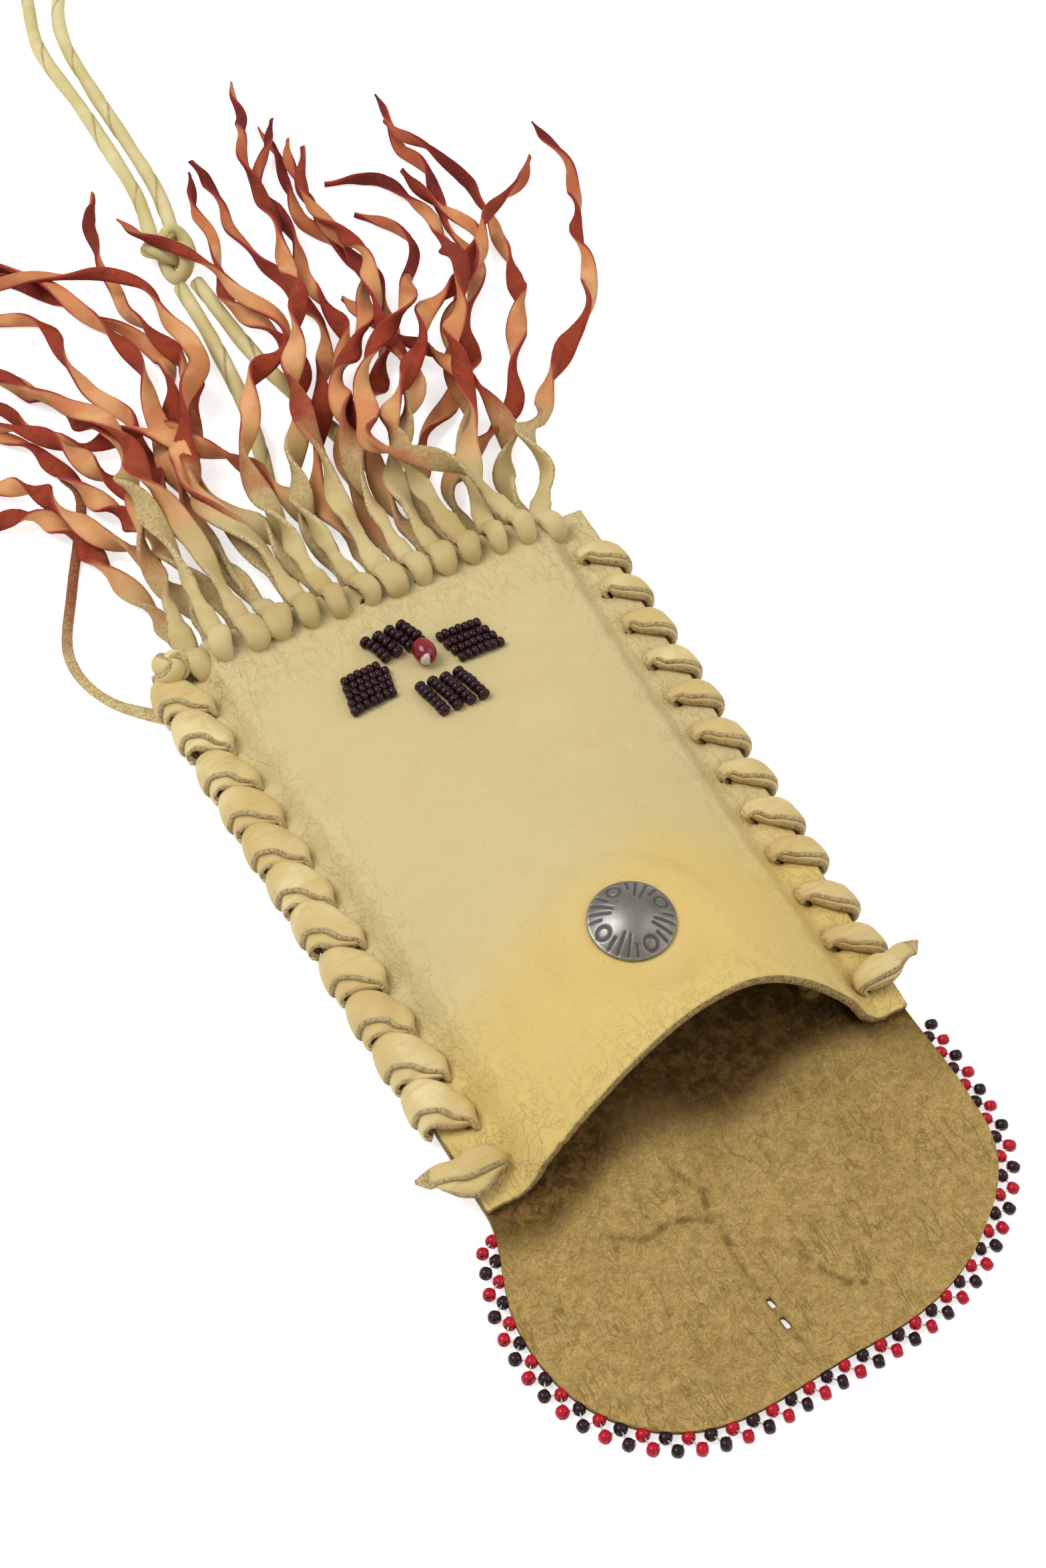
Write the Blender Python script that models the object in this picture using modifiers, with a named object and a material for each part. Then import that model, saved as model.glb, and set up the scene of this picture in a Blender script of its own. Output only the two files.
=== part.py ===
# Laced buckskin pouch with a beaded flap, a bead rosette, a concho button, a thong strap and a dyed fringe.
# It lies on its back with the flap open. X runs across, Y runs from the mouth (0) to the fringe, Z is up.
# All named sizes are in millimetres.
import math
import random

import bmesh
import bpy
import numpy as np
from mathutils import Matrix, Vector
from mathutils.bvhtree import BVHTree

MM = 0.001

# Leather panels
LEATHER = 1.8
POUCH_LENGTH = 152.0
SEAM_HALF_WIDTH = 56.0
MOUTH_HALF_WIDTH = 48.0
FLAP_LENGTH = 60.0
FLAP_HALF_WIDTH = 53.0
FLAP_STRAIGHT = 22.0
FLAP_ROUNDNESS = 2.4
FLAP_UNDERSIDE = 1.0
FLAP_DROP_LENGTH = 26.0
MOUTH_ARCH = 28.0
MOUTH_RIDGE_OFFSET = 9.0
MOUTH_SCOOP = 7.0
PANEL_GAP = 0.3
PANEL_COLUMNS = (-1, -0.9, -0.79, -0.64, -0.33, 0, 0.33, 0.64, 0.79, 0.9, 1)
POUCH_ROWS = np.linspace(POUCH_LENGTH, 0, 11)
FLAP_ROWS = (0.07, 0.16, 0.3, 0.5, 0.68, 0.82, 0.91, 0.965, 0.993)

# Buttonhole slit in the flap
SLIT_LENGTH = 24.0
SLIT_WIDTH = 1.2
SLIT_OFFSET = -9.0
SLIT_FROM_MOUTH = 34.0

# Side lacing
LACE_WIDTH = 10.0
LACE_THICKNESS = 1.6
LACE_PITCH = 11.8
LACE_INSET = 8.0
LACE_GAP = 0.3
HOLE_LACE_WIDTH = 2.6
LACE_UNDER_WIDTH = 4.4
LACE_TAIL_WIDTH = 3.0
LACE_LAST_FROM_MOUTH = 6.0
LACE_FIRST_FROM_SEAM = 15.0
LACING_HOLE = 5.6
PUNCH_TURN = 0.06

# Fringe thongs looped through the bottom seam
THONG_WIDTH = 4.4
THONG_THICKNESS = 1.5
THONG_COUNT = 14
THONG_ROW_MARGINS = 21.0
THONG_INSET = 6.0
FIRST_THONG_FROM_CORNER = 10.0
THONG_HOLE = 5.2
THONG_IN_HOLE = 2.8
THONG_GAP = 0.3
TAIL_RING_SPACING = 18.0
CROSSING_GAP = 0.5
TAIL_TILT = 0.35
ROOT_START = 5.0
ROOT_STRAIGHT = 8.0
PILE_SHARES = np.linspace(0, 1, 7)[:-1]
LEVEL_STEP = 0.8
LEVELS = 60
STEEPEST = 0.7
RISE_COST = 2.0

# Beads
SEED_BEAD = 2.2
SEED_BEAD_LENGTH = 1.45
BEAD_THREAD = 1.2
LANE_PITCH = 2.8
EDGE_BEAD = 2.6
EDGE_BEAD_PAIRS = 44
EDGE_OUTER_REACH = 2.9
CENTRE_BEAD = 5.2
CENTRE_BEAD_LENGTH = 6.4
CENTRE_BEAD_BORE = 1.2
BEAD_SEAT = 0.3
ROSETTE_CENTRE = (1.0, POUCH_LENGTH - 27.0)

# Concho button
CONCHO_DIAMETER = 19.0
CONCHO_DOME = 3.2
CONCHO_WALL = 1.1
CONCHO_POST = 4.0
CONCHO_HOLE = 5.0
CONCHO_PLACE = (4.0, 37.0)
SCREW_HEAD = 9.0
SCREW_HEAD_HEIGHT = 1.2
SCREW_SHANK = 2.0
SCREW_SLACK = 0.5

# Neck strap
STRAP = 4.2
STRAP_FLOOR = 0.1
STRAP_HOLE = 5.4
STRAP_HOLE_PLACE = (MOUTH_HALF_WIDTH - 16.0, 12.0)
STRAP_POINT_SPACING = 11.0
STOP_KNOT = 6.4
KNOT_CENTRE = (4.0, 289.0)
KNOT_WIDTH = 15.0
KNOT_LENGTH = 22.0

# Height of the back panel's underside: low at the laced edges, lifted over the strap and the seam loops
EDGE_UNDERSIDE = LACE_THICKNESS + 2 * LACE_GAP
STRAP_LIFT = STRAP + STRAP_FLOOR + 0.5 - EDGE_UNDERSIDE
SEAM_LIFT = STRAP_LIFT + THONG_THICKNESS + 2 * THONG_GAP
EDGE_TOP = EDGE_UNDERSIDE + 2 * LEATHER + PANEL_GAP
EDGE_SLOPE = 5.0
ARCH_FOOT = LACE_INSET - 1.0

FIRST_THONG_X = FIRST_THONG_FROM_CORNER - SEAM_HALF_WIDTH
THONG_PITCH = (2 * SEAM_HALF_WIDTH - THONG_ROW_MARGINS) / (THONG_COUNT - 1)
HOLES = [FIRST_THONG_X + THONG_PITCH * k for k in range(THONG_COUNT)]

# The way of each fringe tail over the ground, from its seam hole to its tip: an under and an over tail a thong
TAILS = [
    ([(-52, 190), (-58, 208), (-74, 217), (-96, 222), (-112, 238)],
     [(-42, 193), (-42, 218), (-58, 242), (-74, 262), (-84, 290)]),
    ([(-44, 184), (-54, 205), (-68, 231), (-88, 246), (-104, 262)],
     [(-40, 200), (-38, 228), (-50, 262), (-66, 282), (-88, 292)]),
    ([(-39, 179), (-45, 205), (-50, 226), (-62, 246), (-80, 256)],
     [(-36, 195), (-39, 225), (-52, 256), (-72, 268), (-98, 270)]),
    ([(-33, 195), (-29, 222), (-35, 262), (-42, 289), (-70, 296)],
     [(-30, 200), (-22, 232), (-24, 277), (-38, 303), (-62, 318)]),
    ([(-26, 205), (-15, 242), (-17, 268), (-36, 298), (-56, 330)],
     [(-21, 178), (-26, 204), (-6, 250), (-20, 290), (-62, 292)]),
    ([(-18, 184), (-20, 213), (-9, 250), (-16, 288), (-4, 329)],
     [(-13, 183), (-5, 218), (14, 233), (10, 266), (-6, 302)]),
    ([(-7, 190), (-14, 210), (-40, 230), (-60, 258), (-78, 282)],
     [(-3, 192), (15, 225), (11, 262), (17, 300), (22, 320)]),
    ([(2, 188), (15, 217), (28, 238), (25, 286), (25, 329)],
     [(4, 188), (10, 218), (27, 258), (37, 313), (50, 356)]),
    ([(10, 184), (22, 210), (48, 240), (44, 292), (49, 334)],
     [(11, 186), (21, 214), (45, 250), (46, 298), (53, 321)]),
    ([(15, 178), (19, 205), (32, 245), (37, 300), (52, 332)],
     [(20, 182), (35, 205), (45, 250), (46, 290), (53, 312)]),
    ([(24, 182), (52, 210), (75, 248), (82, 300), (85, 333)],
     [(20, 180), (44, 218), (74, 245), (95, 268), (112, 283)]),
    ([(34, 178), (66, 204), (90, 262), (86, 296), (81, 317)],
     [(41, 180), (50, 206), (70, 250), (72, 292), (54, 301)]),
    ([(38, 176), (49, 202), (62, 236), (80, 252), (75, 293)],
     [(22, 169), (14, 186), (30, 214), (50, 236), (64, 268), (57, 286)]),
    ([(45, 172), (51, 182), (55, 194), (46, 218), (38, 252)],
     [(55, 166), (52, 178), (70, 194), (101, 230), (117, 270), (121, 299)]),
]
LACE_TAIL = [(-51, 227), (-50, 216), (-62, 190), (-70, 170), (-66, 153)]

# The strap's route over the ground, from a mouth corner to the knot and from the knot round its far bight
LEFT_STRAND = [(-31, 36), (-18, 151), (-3, 215), (1, 250), (1.7, 277.7)]
RIGHT_STRAND = [(31, 36), (24, 154), (15, 211), (9, 243), (6.5, 277.7)]
FAR_LEFT = [(1.8, 297.9), (5.6, 320), (6, 343), (6, 366), (5, 398), (10, 423), (18, 452), (24, 480)]
FAR_RIGHT = [(40, 476), (32, 446), (18, 418), (13, 398), (12, 372), (12, 343), (11.5, 320), (8.2, 297.9)]

BUCKSKIN = ((0.62, 0.52, 0.28), 0.8, 0.0)
SUEDE = ((0.42, 0.28, 0.10), 0.95, 0.0)
RUST = ((0.42, 0.12, 0.05), 0.85, 0.0)
DARK_BEAD = ((0.03, 0.008, 0.014), 0.25, 0.0)
RED_BEAD = ((0.5, 0.01, 0.03), 0.2, 0.0)
SILVER = ((0.42, 0.40, 0.36), 0.35, 1.0)

random.seed(7)


def clear_scene():
    for o in list(bpy.data.objects):
        bpy.data.objects.remove(o, do_unlink=True)


def collection(name):
    c = bpy.data.collections.new(name)
    bpy.context.scene.collection.children.link(c)
    return c


def material(name, look):
    colour, roughness, metallic = look
    m = bpy.data.materials.new(name)
    m.use_nodes = True
    shader = m.node_tree.nodes["Principled BSDF"]
    shader.inputs["Base Color"].default_value = (*colour, 1.0)
    shader.inputs["Roughness"].default_value = roughness
    shader.inputs["Metallic"].default_value = metallic
    return m


def mesh_object(name, points, faces, look):
    mesh = bpy.data.meshes.new(name)
    mesh.from_pydata([tuple(MM * float(c) for c in p) for p in points], [], faces)
    bm = bmesh.new()
    bm.from_mesh(mesh)
    bmesh.ops.recalc_face_normals(bm, faces=bm.faces)
    bm.to_mesh(mesh)
    bm.free()
    mesh.materials.append(material(name, look))
    o = bpy.data.objects.new(name, mesh)
    BAG.objects.link(o)
    o.parent = ROOT
    return o


def smooth_step(low, high, x):
    t = np.clip((x - low) / (high - low), 0.0, 1.0)
    return t * t * (3.0 - 2.0 * t)


# Leather surfaces
def half_width(y):
    """Half of the back piece's width at y, along the pouch and round the flap's corners."""
    pouch = MOUTH_HALF_WIDTH + (SEAM_HALF_WIDTH - MOUTH_HALF_WIDTH) * np.clip(y / POUCH_LENGTH, 0, 1)
    swell = (FLAP_HALF_WIDTH - MOUTH_HALF_WIDTH) * smooth_step(0, FLAP_STRAIGHT, -y)
    t = np.clip((-y - FLAP_STRAIGHT) / (FLAP_LENGTH - FLAP_STRAIGHT), 0, 1)
    corner = (1 - t**FLAP_ROUNDNESS) ** (1 / FLAP_ROUNDNESS)
    return (pouch + swell) * corner


def back_underside(x, y):
    """Height of the back piece's underside."""
    inside = smooth_step(0, EDGE_SLOPE, half_width(np.maximum(y, 0)) - np.abs(x) - LACE_INSET - 1)
    lift = STRAP_LIFT + (SEAM_LIFT - STRAP_LIFT) * smooth_step(POUCH_LENGTH - 30, POUCH_LENGTH - 12, y)
    pouch = EDGE_UNDERSIDE + lift * inside
    down = smooth_step(0, FLAP_DROP_LENGTH, -y)
    return pouch * (1 - down) + FLAP_UNDERSIDE * down


def arch(x, y):
    """The front panel's rise, from 0 at the laced edges to 1 at its ridge."""
    foot = half_width(y) - ARCH_FOOT
    ridge = MOUTH_RIDGE_OFFSET * (1 - smooth_step(0, 90, y))
    share = np.where(x > ridge, (foot - x) / (foot - ridge), (foot + x) / (foot + ridge))
    return 1 - (1 - np.clip(share, 0, 1)) ** 2.0


def front_underside(x, y):
    """Height of the front panel's underside: it lies on the back piece at the seams and arches at the mouth."""
    open_share = np.clip(1 - y / (POUCH_LENGTH - 12), 0, 1)
    rise = MOUTH_ARCH * open_share**1.25 * arch(x, y)
    return back_underside(x, y) + LEATHER + PANEL_GAP + rise


class Surface:
    """The facets of a leather sheet, to seat other pieces on."""

    def __init__(self, points, faces):
        self.tree = BVHTree.FromPolygons([Vector(p) for p in points], faces)

    def height(self, x, y, reach, above):
        """The highest top, or the lowest underside, within reach of a place."""
        found = []
        for dx in (-reach, 0, reach):
            for dy in (-reach, 0, reach):
                start = Vector((x + dx, y + dy, 100 if above else -100))
                hit = self.tree.ray_cast(start, Vector((0, 0, -1 if above else 1)))[0]
                if hit is not None:
                    found.append(hit.z)
        return (max if above else min)(found)

    def top(self, x, y, reach=0.0):
        return self.height(x, y, reach, True)

    def underside(self, x, y, reach=0.0):
        return self.height(x, y, reach, False)


def sheet(name, rows, columns, place, underside, look):
    """A leather sheet: a grid of rows and columns given its thickness upward."""
    low, high = [], []
    for v in rows:
        for u in columns:
            x, y = place(u, v)
            z = float(underside(x, y))
            low.append((x, y, z))
            high.append((x, y, z + LEATHER))
    across, along = len(columns), len(rows)
    n = across * along
    faces = []
    for r in range(along - 1):
        for c in range(across - 1):
            a, b = r * across + c, (r + 1) * across + c
            faces += [(a, a + 1, b + 1, b), (n + a, n + b, n + b + 1, n + a + 1)]
    rim = [c for c in range(across)]
    rim += [r * across + across - 1 for r in range(1, along)]
    rim += [(along - 1) * across + c for c in range(across - 2, -1, -1)]
    rim += [r * across for r in range(along - 2, 0, -1)]
    for a, b in zip(rim, rim[1:] + rim[:1]):
        faces.append((a, b, n + b, n + a))
    return mesh_object(name, low + high, faces, look), Surface(low + high, faces)


def back_place(u, v):
    return u * float(half_width(v)), v


def front_place(u, v):
    """A point of the front panel, whose mouth edge is scooped toward the fringe."""
    x = u * float(half_width(v))
    scoop = MOUTH_SCOOP * float(arch(u * MOUTH_HALF_WIDTH, 0.0)) * (1 - v / POUCH_LENGTH)
    return x, v + scoop


# Cutters
def diamonds(name, places, size, low, high):
    """Upright four-sided awl punches at the given places, as one cutter."""
    bm = bmesh.new()
    for x, y in places:
        turn = Matrix.Translation((x * MM, y * MM, (low + high) / 2 * MM)) @ Matrix.Rotation(PUNCH_TURN, 4, "Z")
        bmesh.ops.create_cone(bm, cap_ends=True, segments=4, radius1=size / 2 * MM, radius2=size / 2 * MM,
                              depth=(high - low) * MM, matrix=turn)
    return cutter(name, bm)


def cutter(name, bm):
    mesh = bpy.data.meshes.new(name)
    bm.to_mesh(mesh)
    bm.free()
    o = bpy.data.objects.new(name, mesh)
    CUTTERS.objects.link(o)
    o.parent = ROOT
    o.hide_render = True
    o.display_type = "WIRE"
    return o


def cut(target, *tools):
    for tool in tools:
        m = target.modifiers.new(tool.name, "BOOLEAN")
        m.operation = "DIFFERENCE"
        m.solver = "EXACT"
        m.object = tool


# Bands and strings
def route(points, spacing):
    """A smooth way through the points, read off at even steps."""
    p = np.array(points, float)
    p = np.vstack([2 * p[0] - p[1], p, 2 * p[-1] - p[-2]])
    fine = []
    for a, b, c, d in zip(p, p[1:], p[2:], p[3:]):
        t = np.linspace(0, 1, 24, endpoint=False)[:, None]
        fine.append(0.5 * (2 * b + (c - a) * t + (2 * a - 5 * b + 4 * c - d) * t**2
                           + (3 * b - 3 * c + d - a) * t**3))
    fine = np.vstack([*fine, p[-2]])
    run = np.concatenate([[0], np.cumsum(np.linalg.norm(np.diff(fine, axis=0), axis=1))])
    count = max(2, int(round(run[-1] / spacing)) + 1)
    at = np.linspace(0, run[-1], count)
    return np.stack([np.interp(at, run, fine[:, k]) for k in range(p.shape[1])], 1)


def tangents(line):
    t = np.gradient(line, axis=0)
    return t / np.linalg.norm(t, axis=1)[:, None]


def loft(name, line, side, up, shape, look):
    """Rings of the shape's corners, each (across, up), set along the line and closed at both ends."""
    count, corners = len(line), shape.shape[1]
    points = (line[:, None] + shape[:, :, :1] * side[:, None] + shape[:, :, 1:] * up[:, None]).reshape(-1, 3)
    faces = [tuple(range(corners)), tuple(range((count - 1) * corners, count * corners))]
    for r in range(count - 1):
        for c in range(corners):
            d = (c + 1) % corners
            faces.append((r * corners + c, r * corners + d, (r + 1) * corners + d, (r + 1) * corners + c))
    return mesh_object(name, points, faces, look)


def flat_section(width, thickness):
    """The four corners of a band's section at each ring."""
    w, t = np.asarray(width) / 2, np.asarray(thickness) / 2
    return np.stack([np.stack([-w, -t], 1), np.stack([w, -t], 1), np.stack([w, t], 1), np.stack([-w, t], 1)], 1)


def square_to(side, way):
    """The side directions, made square to the ways and of unit length."""
    side = side - (side * way).sum(1)[:, None] * way
    return side / np.linalg.norm(side, axis=1)[:, None]


def bead_string(name, centres, bead, look, reach=None):
    """Beads strung on a thread: the thread's ring between beads and a full ring at each bead's middle."""
    line, radius = [centres[0] - (centres[1] - centres[0]) * 0.5], [BEAD_THREAD / 2]
    for a, b in zip(centres, centres[1:]):
        line += [a, (a + b) / 2]
        radius += [bead / 2, BEAD_THREAD / 2]
    line += [centres[-1], centres[-1] + (centres[-1] - centres[-2]) * 0.5]
    radius += [bead / 2, BEAD_THREAD / 2]
    line, radius = np.array(line), np.array(radius)
    t = tangents(line)
    side = np.cross(t, [0, 0, 1.0])
    side /= np.linalg.norm(side, axis=1)[:, None]
    corner = np.array([[math.cos(a), math.sin(a)] for a in (math.pi / 4 + math.pi / 2 * k for k in range(4))])
    o = loft(name, line, side, np.cross(side, t), radius[:, None, None] * corner * 1.1, look)
    return o


def turned(name, profile, steps, place, axis, look):
    """A profile of (radius, height), from its foot up, turned about an axis that starts at the place."""
    mesh = bpy.data.meshes.new(name)
    pts = [(r * MM, 0.0, h * MM) for r, h in profile]
    closed = profile[0][0] > 0
    edges = [(k, k + 1) for k in range(len(pts) - 1)] + ([(len(pts) - 1, 0)] if closed else [])
    mesh.from_pydata(pts, edges, [])
    mesh.materials.append(material(name, look))
    o = bpy.data.objects.new(name, mesh)
    BAG.objects.link(o)
    o.parent = ROOT
    o.location = Vector(place) * MM
    o.rotation_mode = "QUATERNION"
    o.rotation_quaternion = Vector((0, 0, 1)).rotation_difference(Vector(axis))
    m = o.modifiers.new("turn", "SCREW")
    m.steps = m.render_steps = steps
    m.use_merge_vertices = True
    m.merge_threshold = 0.00001
    m.use_normal_flip = True
    return o


def tube(name, line, diameter, look, cyclic=False):
    curve = bpy.data.curves.new(name, "CURVE")
    curve.dimensions = "3D"
    spline = curve.splines.new("POLY")
    spline.points.add(len(line) - 1)
    for p, q in zip(spline.points, line):
        p.co = (q[0] * MM, q[1] * MM, q[2] * MM, 1.0)
    spline.use_cyclic_u = cyclic
    curve.bevel_depth = diameter / 2 * MM
    curve.bevel_resolution = 2
    curve.use_fill_caps = not cyclic
    curve.materials.append(material(name, look))
    o = bpy.data.objects.new(name, curve)
    BAG.objects.link(o)
    o.parent = ROOT
    return o


# Places of the holes
def lace_rows():
    """The lacing holes' places along the side, from the seam to the mouth."""
    turns = 1 + int((POUCH_LENGTH - LACE_FIRST_FROM_SEAM - LACE_LAST_FROM_MOUTH) / LACE_PITCH)
    return [POUCH_LENGTH - LACE_FIRST_FROM_SEAM - LACE_PITCH * k for k in range(turns)]


def lace_holes():
    return [(side * (float(half_width(y)) - LACE_INSET), y) for side in (-1, 1) for y in lace_rows()]


def seam_holes():
    return [(x, POUCH_LENGTH - THONG_INSET) for x in HOLES]


def strap_holes():
    x, y = STRAP_HOLE_PLACE
    return [(-x, y), (x, y)]


def make_back():
    rows = list(POUCH_ROWS)
    rows += [-FLAP_LENGTH * t for t in FLAP_ROWS]
    back, surface = sheet("back_panel", rows, PANEL_COLUMNS, back_place, back_underside, BUCKSKIN)
    slit = bmesh.new()
    place = Matrix.Translation(Vector((SLIT_OFFSET, -SLIT_FROM_MOUTH, LEATHER)) * MM)
    size = Matrix.Diagonal((SLIT_WIDTH * MM, SLIT_LENGTH * MM, 4 * LEATHER * MM, 1.0))
    bmesh.ops.create_cube(slit, size=1.0, matrix=place @ size)
    low, high = 0.0, SEAM_LIFT + EDGE_UNDERSIDE + 2 * LEATHER
    cut(back, diamonds("back_lacing_holes", lace_holes(), LACING_HOLE, low, high),
        diamonds("back_seam_holes", seam_holes(), THONG_HOLE, low, high),
        diamonds("back_strap_holes", strap_holes(), STRAP_HOLE, low, high), cutter("flap_slit", slit))
    return surface


def make_front():
    front, surface = sheet("front_panel", POUCH_ROWS, PANEL_COLUMNS, front_place, front_underside, BUCKSKIN)
    low, high = 0.0, 40.0
    post = bmesh.new()
    foot, axis = concho_seat(surface)
    lean = Vector((0, 0, 1)).rotation_difference(axis).to_matrix().to_4x4()
    bmesh.ops.create_cone(post, cap_ends=True, segments=12, radius1=CONCHO_HOLE / 2 * MM,
                          radius2=CONCHO_HOLE / 2 * MM, depth=12 * MM, matrix=Matrix.Translation(foot * MM) @ lean)
    cut(front, diamonds("front_lacing_holes", lace_holes(), LACING_HOLE, low, high),
        diamonds("front_seam_holes", seam_holes(), THONG_HOLE, low, high), cutter("concho_hole", post))
    return surface


def concho_seat(surface):
    """The middle of the front panel under the concho, and the way its face points."""
    x, y = CONCHO_PLACE
    r = CONCHO_DIAMETER / 2
    slope_x = (surface.top(x + r, y) - surface.top(x - r, y)) / CONCHO_DIAMETER
    slope_y = (surface.top(x, y + r) - surface.top(x, y - r)) / CONCHO_DIAMETER
    return Vector((x, y, surface.top(x, y))), Vector((-slope_x, -slope_y, 1)).normalized()


def make_side_lace(name, side, start, look):
    """One continuous thong: it starts at the seam corner, whips the edges together and ends knotted at the mouth."""
    rings = []

    def add(x, y, z, width, thickness, way):
        rings.append((side * x, y, z, side * way[0], way[1], way[2], width, thickness))

    t = LACE_THICKNESS
    lift = LACE_GAP + t / 2
    rows = lace_rows()
    if start:
        way = tangents(np.array(start, float))
        for (x, y), (dx, dy) in zip(start, way):
            add(side * x, y, t / 2 + 0.1, LACE_TAIL_WIDTH, t, (side * dx, dy, 0))
    for k, y in enumerate(rows):
        edge = float(half_width(y))
        hole = edge - LACE_INSET
        low = BACK.underside(side * hole, y, LACE_UNDER_WIDTH * 0.8)
        top = FRONT.top(side * hole, y, HOLE_LACE_WIDTH / 2)
        add(hole + 2.0, y + 1.6, low - lift, LACE_UNDER_WIDTH, t, (-1, -0.6, 0))
        add(hole, y, low - 0.2, HOLE_LACE_WIDTH, t, (0, 0, 1))
        add(hole, y, top + 0.3, HOLE_LACE_WIDTH, t, (0, 0, 1))
        if k == len(rows) - 1:
            break
        on_top = FRONT.top(side * (hole + 3.0), y, LACE_WIDTH / 2)
        add(hole + 1.7, y, on_top + lift + 0.5, LACE_WIDTH * 0.7, t, (1, 0, 0.2))
        add(hole + LACE_INSET * 0.55, y, on_top + lift + 0.3, LACE_WIDTH, t, (1, 0, 0))
        add(edge + 0.2, y - 0.2, EDGE_TOP + lift, LACE_WIDTH, t, (1, 0, 0))
        add(edge + 0.2 + lift, y - 0.6, EDGE_TOP, LACE_WIDTH * 0.9, t, (0, 0, -1))
        add(edge + 0.2 + lift, y - 1.4, EDGE_UNDERSIDE, LACE_WIDTH * 0.75, t, (0, 0, -1))
        add(edge + 0.2, y - 2.2, EDGE_UNDERSIDE - lift, LACE_WIDTH * 0.6, t, (-1, 0, 0))
    y = rows[-1]
    hole = float(half_width(y)) - LACE_INSET
    top = FRONT.top(side * (hole + 4), y, 5.0)
    add(hole + 2.0, y - 0.3, top + 2.3, 6.5, 3.0, (1, 0, 0.3))
    add(hole + 5.0, y - 0.2, top + 2.6, 7.5, 3.4, (1, 0.1, 0))
    add(hole + 8.0, y + 0.9, top + 2.6, 5.6, 2.2, (1, 0.3, 0))
    add(hole + 10.6, y + 2.2, top + 2.2, 4.6, 1.8, (1, 0.4, -0.1))
    add(hole + 15.5, y + 4.0, top + 1.4, 0.8, 1.0, (1, 0.3, -0.1))
    rings = np.array(rings)
    way = rings[:, 3:6] / np.linalg.norm(rings[:, 3:6], axis=1)[:, None]
    facing = np.tile([0.0, 1.0, 0.0], (len(rings), 1))
    turning = len(start)
    if turning:
        facing[:turning] = np.cross(way[:turning], [0, 0, -side])
    across = square_to(facing, way)
    return loft(name, rings[:, :3], across, np.cross(way, across), flat_section(rings[:, 6], rings[:, 7]), look)


# Fringe
class Pile:
    """What already lies on the ground: places with their reach, underside and top."""

    def __init__(self):
        self.places = np.zeros((0, 5))

    def add(self, line, half_height, reach):
        """Puts down a polyline with its half height at each point."""
        for a, b, p, q in zip(line, line[1:], half_height, half_height[1:]):
            at = a + (b - a) * PILE_SHARES[:, None]
            half = max(p, q)
            self.places = np.vstack([self.places, np.column_stack([
                at[:, :2], np.full(len(at), reach), at[:, 2] - half, at[:, 2] + half])])

    def near(self, at, reach):
        """The undersides and tops of all that lies within reach of a place."""
        apart = np.hypot(*(self.places[:, :2] - at).T) - self.places[:, 2] - reach
        return self.places[apart < 0, 3:]


def settle(way, half, start_height, pile):
    """Heights along a way from the given start, as low as its slope and what already lies there allow."""
    levels = 0.2 + half.max() + LEVEL_STEP * np.arange(LEVELS)
    heights, cost, back = np.array([start_height]), np.zeros(1), []
    for a, b, p, q in zip(way, way[1:], half, half[1:]):
        margin = max(p, q) + CROSSING_GAP
        step = np.linalg.norm(b - a)
        rise = np.abs(levels[None] - heights[:, None])
        total = cost[:, None] + levels[None] + RISE_COST * rise + 1000.0 * (rise > STEEPEST * step)
        for share in PILE_SHARES:
            z = heights[:, None] * (1 - share) + levels[None] * share
            for under, over in pile.near(a + (b - a) * share, THONG_WIDTH / 2):
                total += 50.0 * ((z - margin < over) & (z + margin > under))
        back.append(total.argmin(0))
        heights, cost = levels, total.min(0)
    chosen = [int(cost.argmin())]
    for choice in reversed(back):
        chosen.append(int(choice[chosen[-1]]))
    return np.concatenate([[start_height], levels[chosen[-2::-1]]])


def lay_tail(ground, root, start_height, pile, twist):
    """A tail's rings from the seam to its tip, over or under what lies there."""
    way = route([root, (root[0], root[1] + ROOT_STRAIGHT), *ground], TAIL_RING_SPACING)
    share = np.linspace(0, 1, len(way))
    turn = TAIL_TILT * np.sin(twist * np.pi * share)
    width = THONG_WIDTH * (1 - 0.75 * smooth_step(0.72, 1.0, share))
    half = 0.5 * (width * np.abs(np.sin(turn)) + THONG_THICKNESS * np.abs(np.cos(turn)))
    line = np.column_stack([way, settle(way, half, start_height, pile)])
    pile.add(line, half, THONG_WIDTH / 2)
    return line, turn, width


def seam_heights(x):
    """Where a thong passes under and over the leather, at its hole and at the seam's edge."""
    half = THONG_WIDTH / 2
    lift = THONG_GAP + THONG_THICKNESS / 2
    rows = (POUCH_LENGTH - THONG_INSET, POUCH_LENGTH - half - 0.1)
    return [BACK.underside(x, y, half) - lift for y in rows] + [FRONT.top(x, y, half) + lift for y in rows]


def lay_fringe(pile):
    """All the tails: those from under the seam first, then those from over it."""
    twists = [random.choice([-3, -2, 2, 3]) for x in HOLES]
    edge = POUCH_LENGTH + ROOT_START
    below = [lay_tail(under, (x, edge), seam_heights(x)[1], pile, twist)
             for x, (under, over), twist in zip(HOLES, TAILS, twists)]
    above = [lay_tail(over, (x, edge), seam_heights(x)[3] + 0.2, pile, -twist)
             for x, (under, over), twist in zip(HOLES, TAILS, twists)]
    return zip(below, above)


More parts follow.
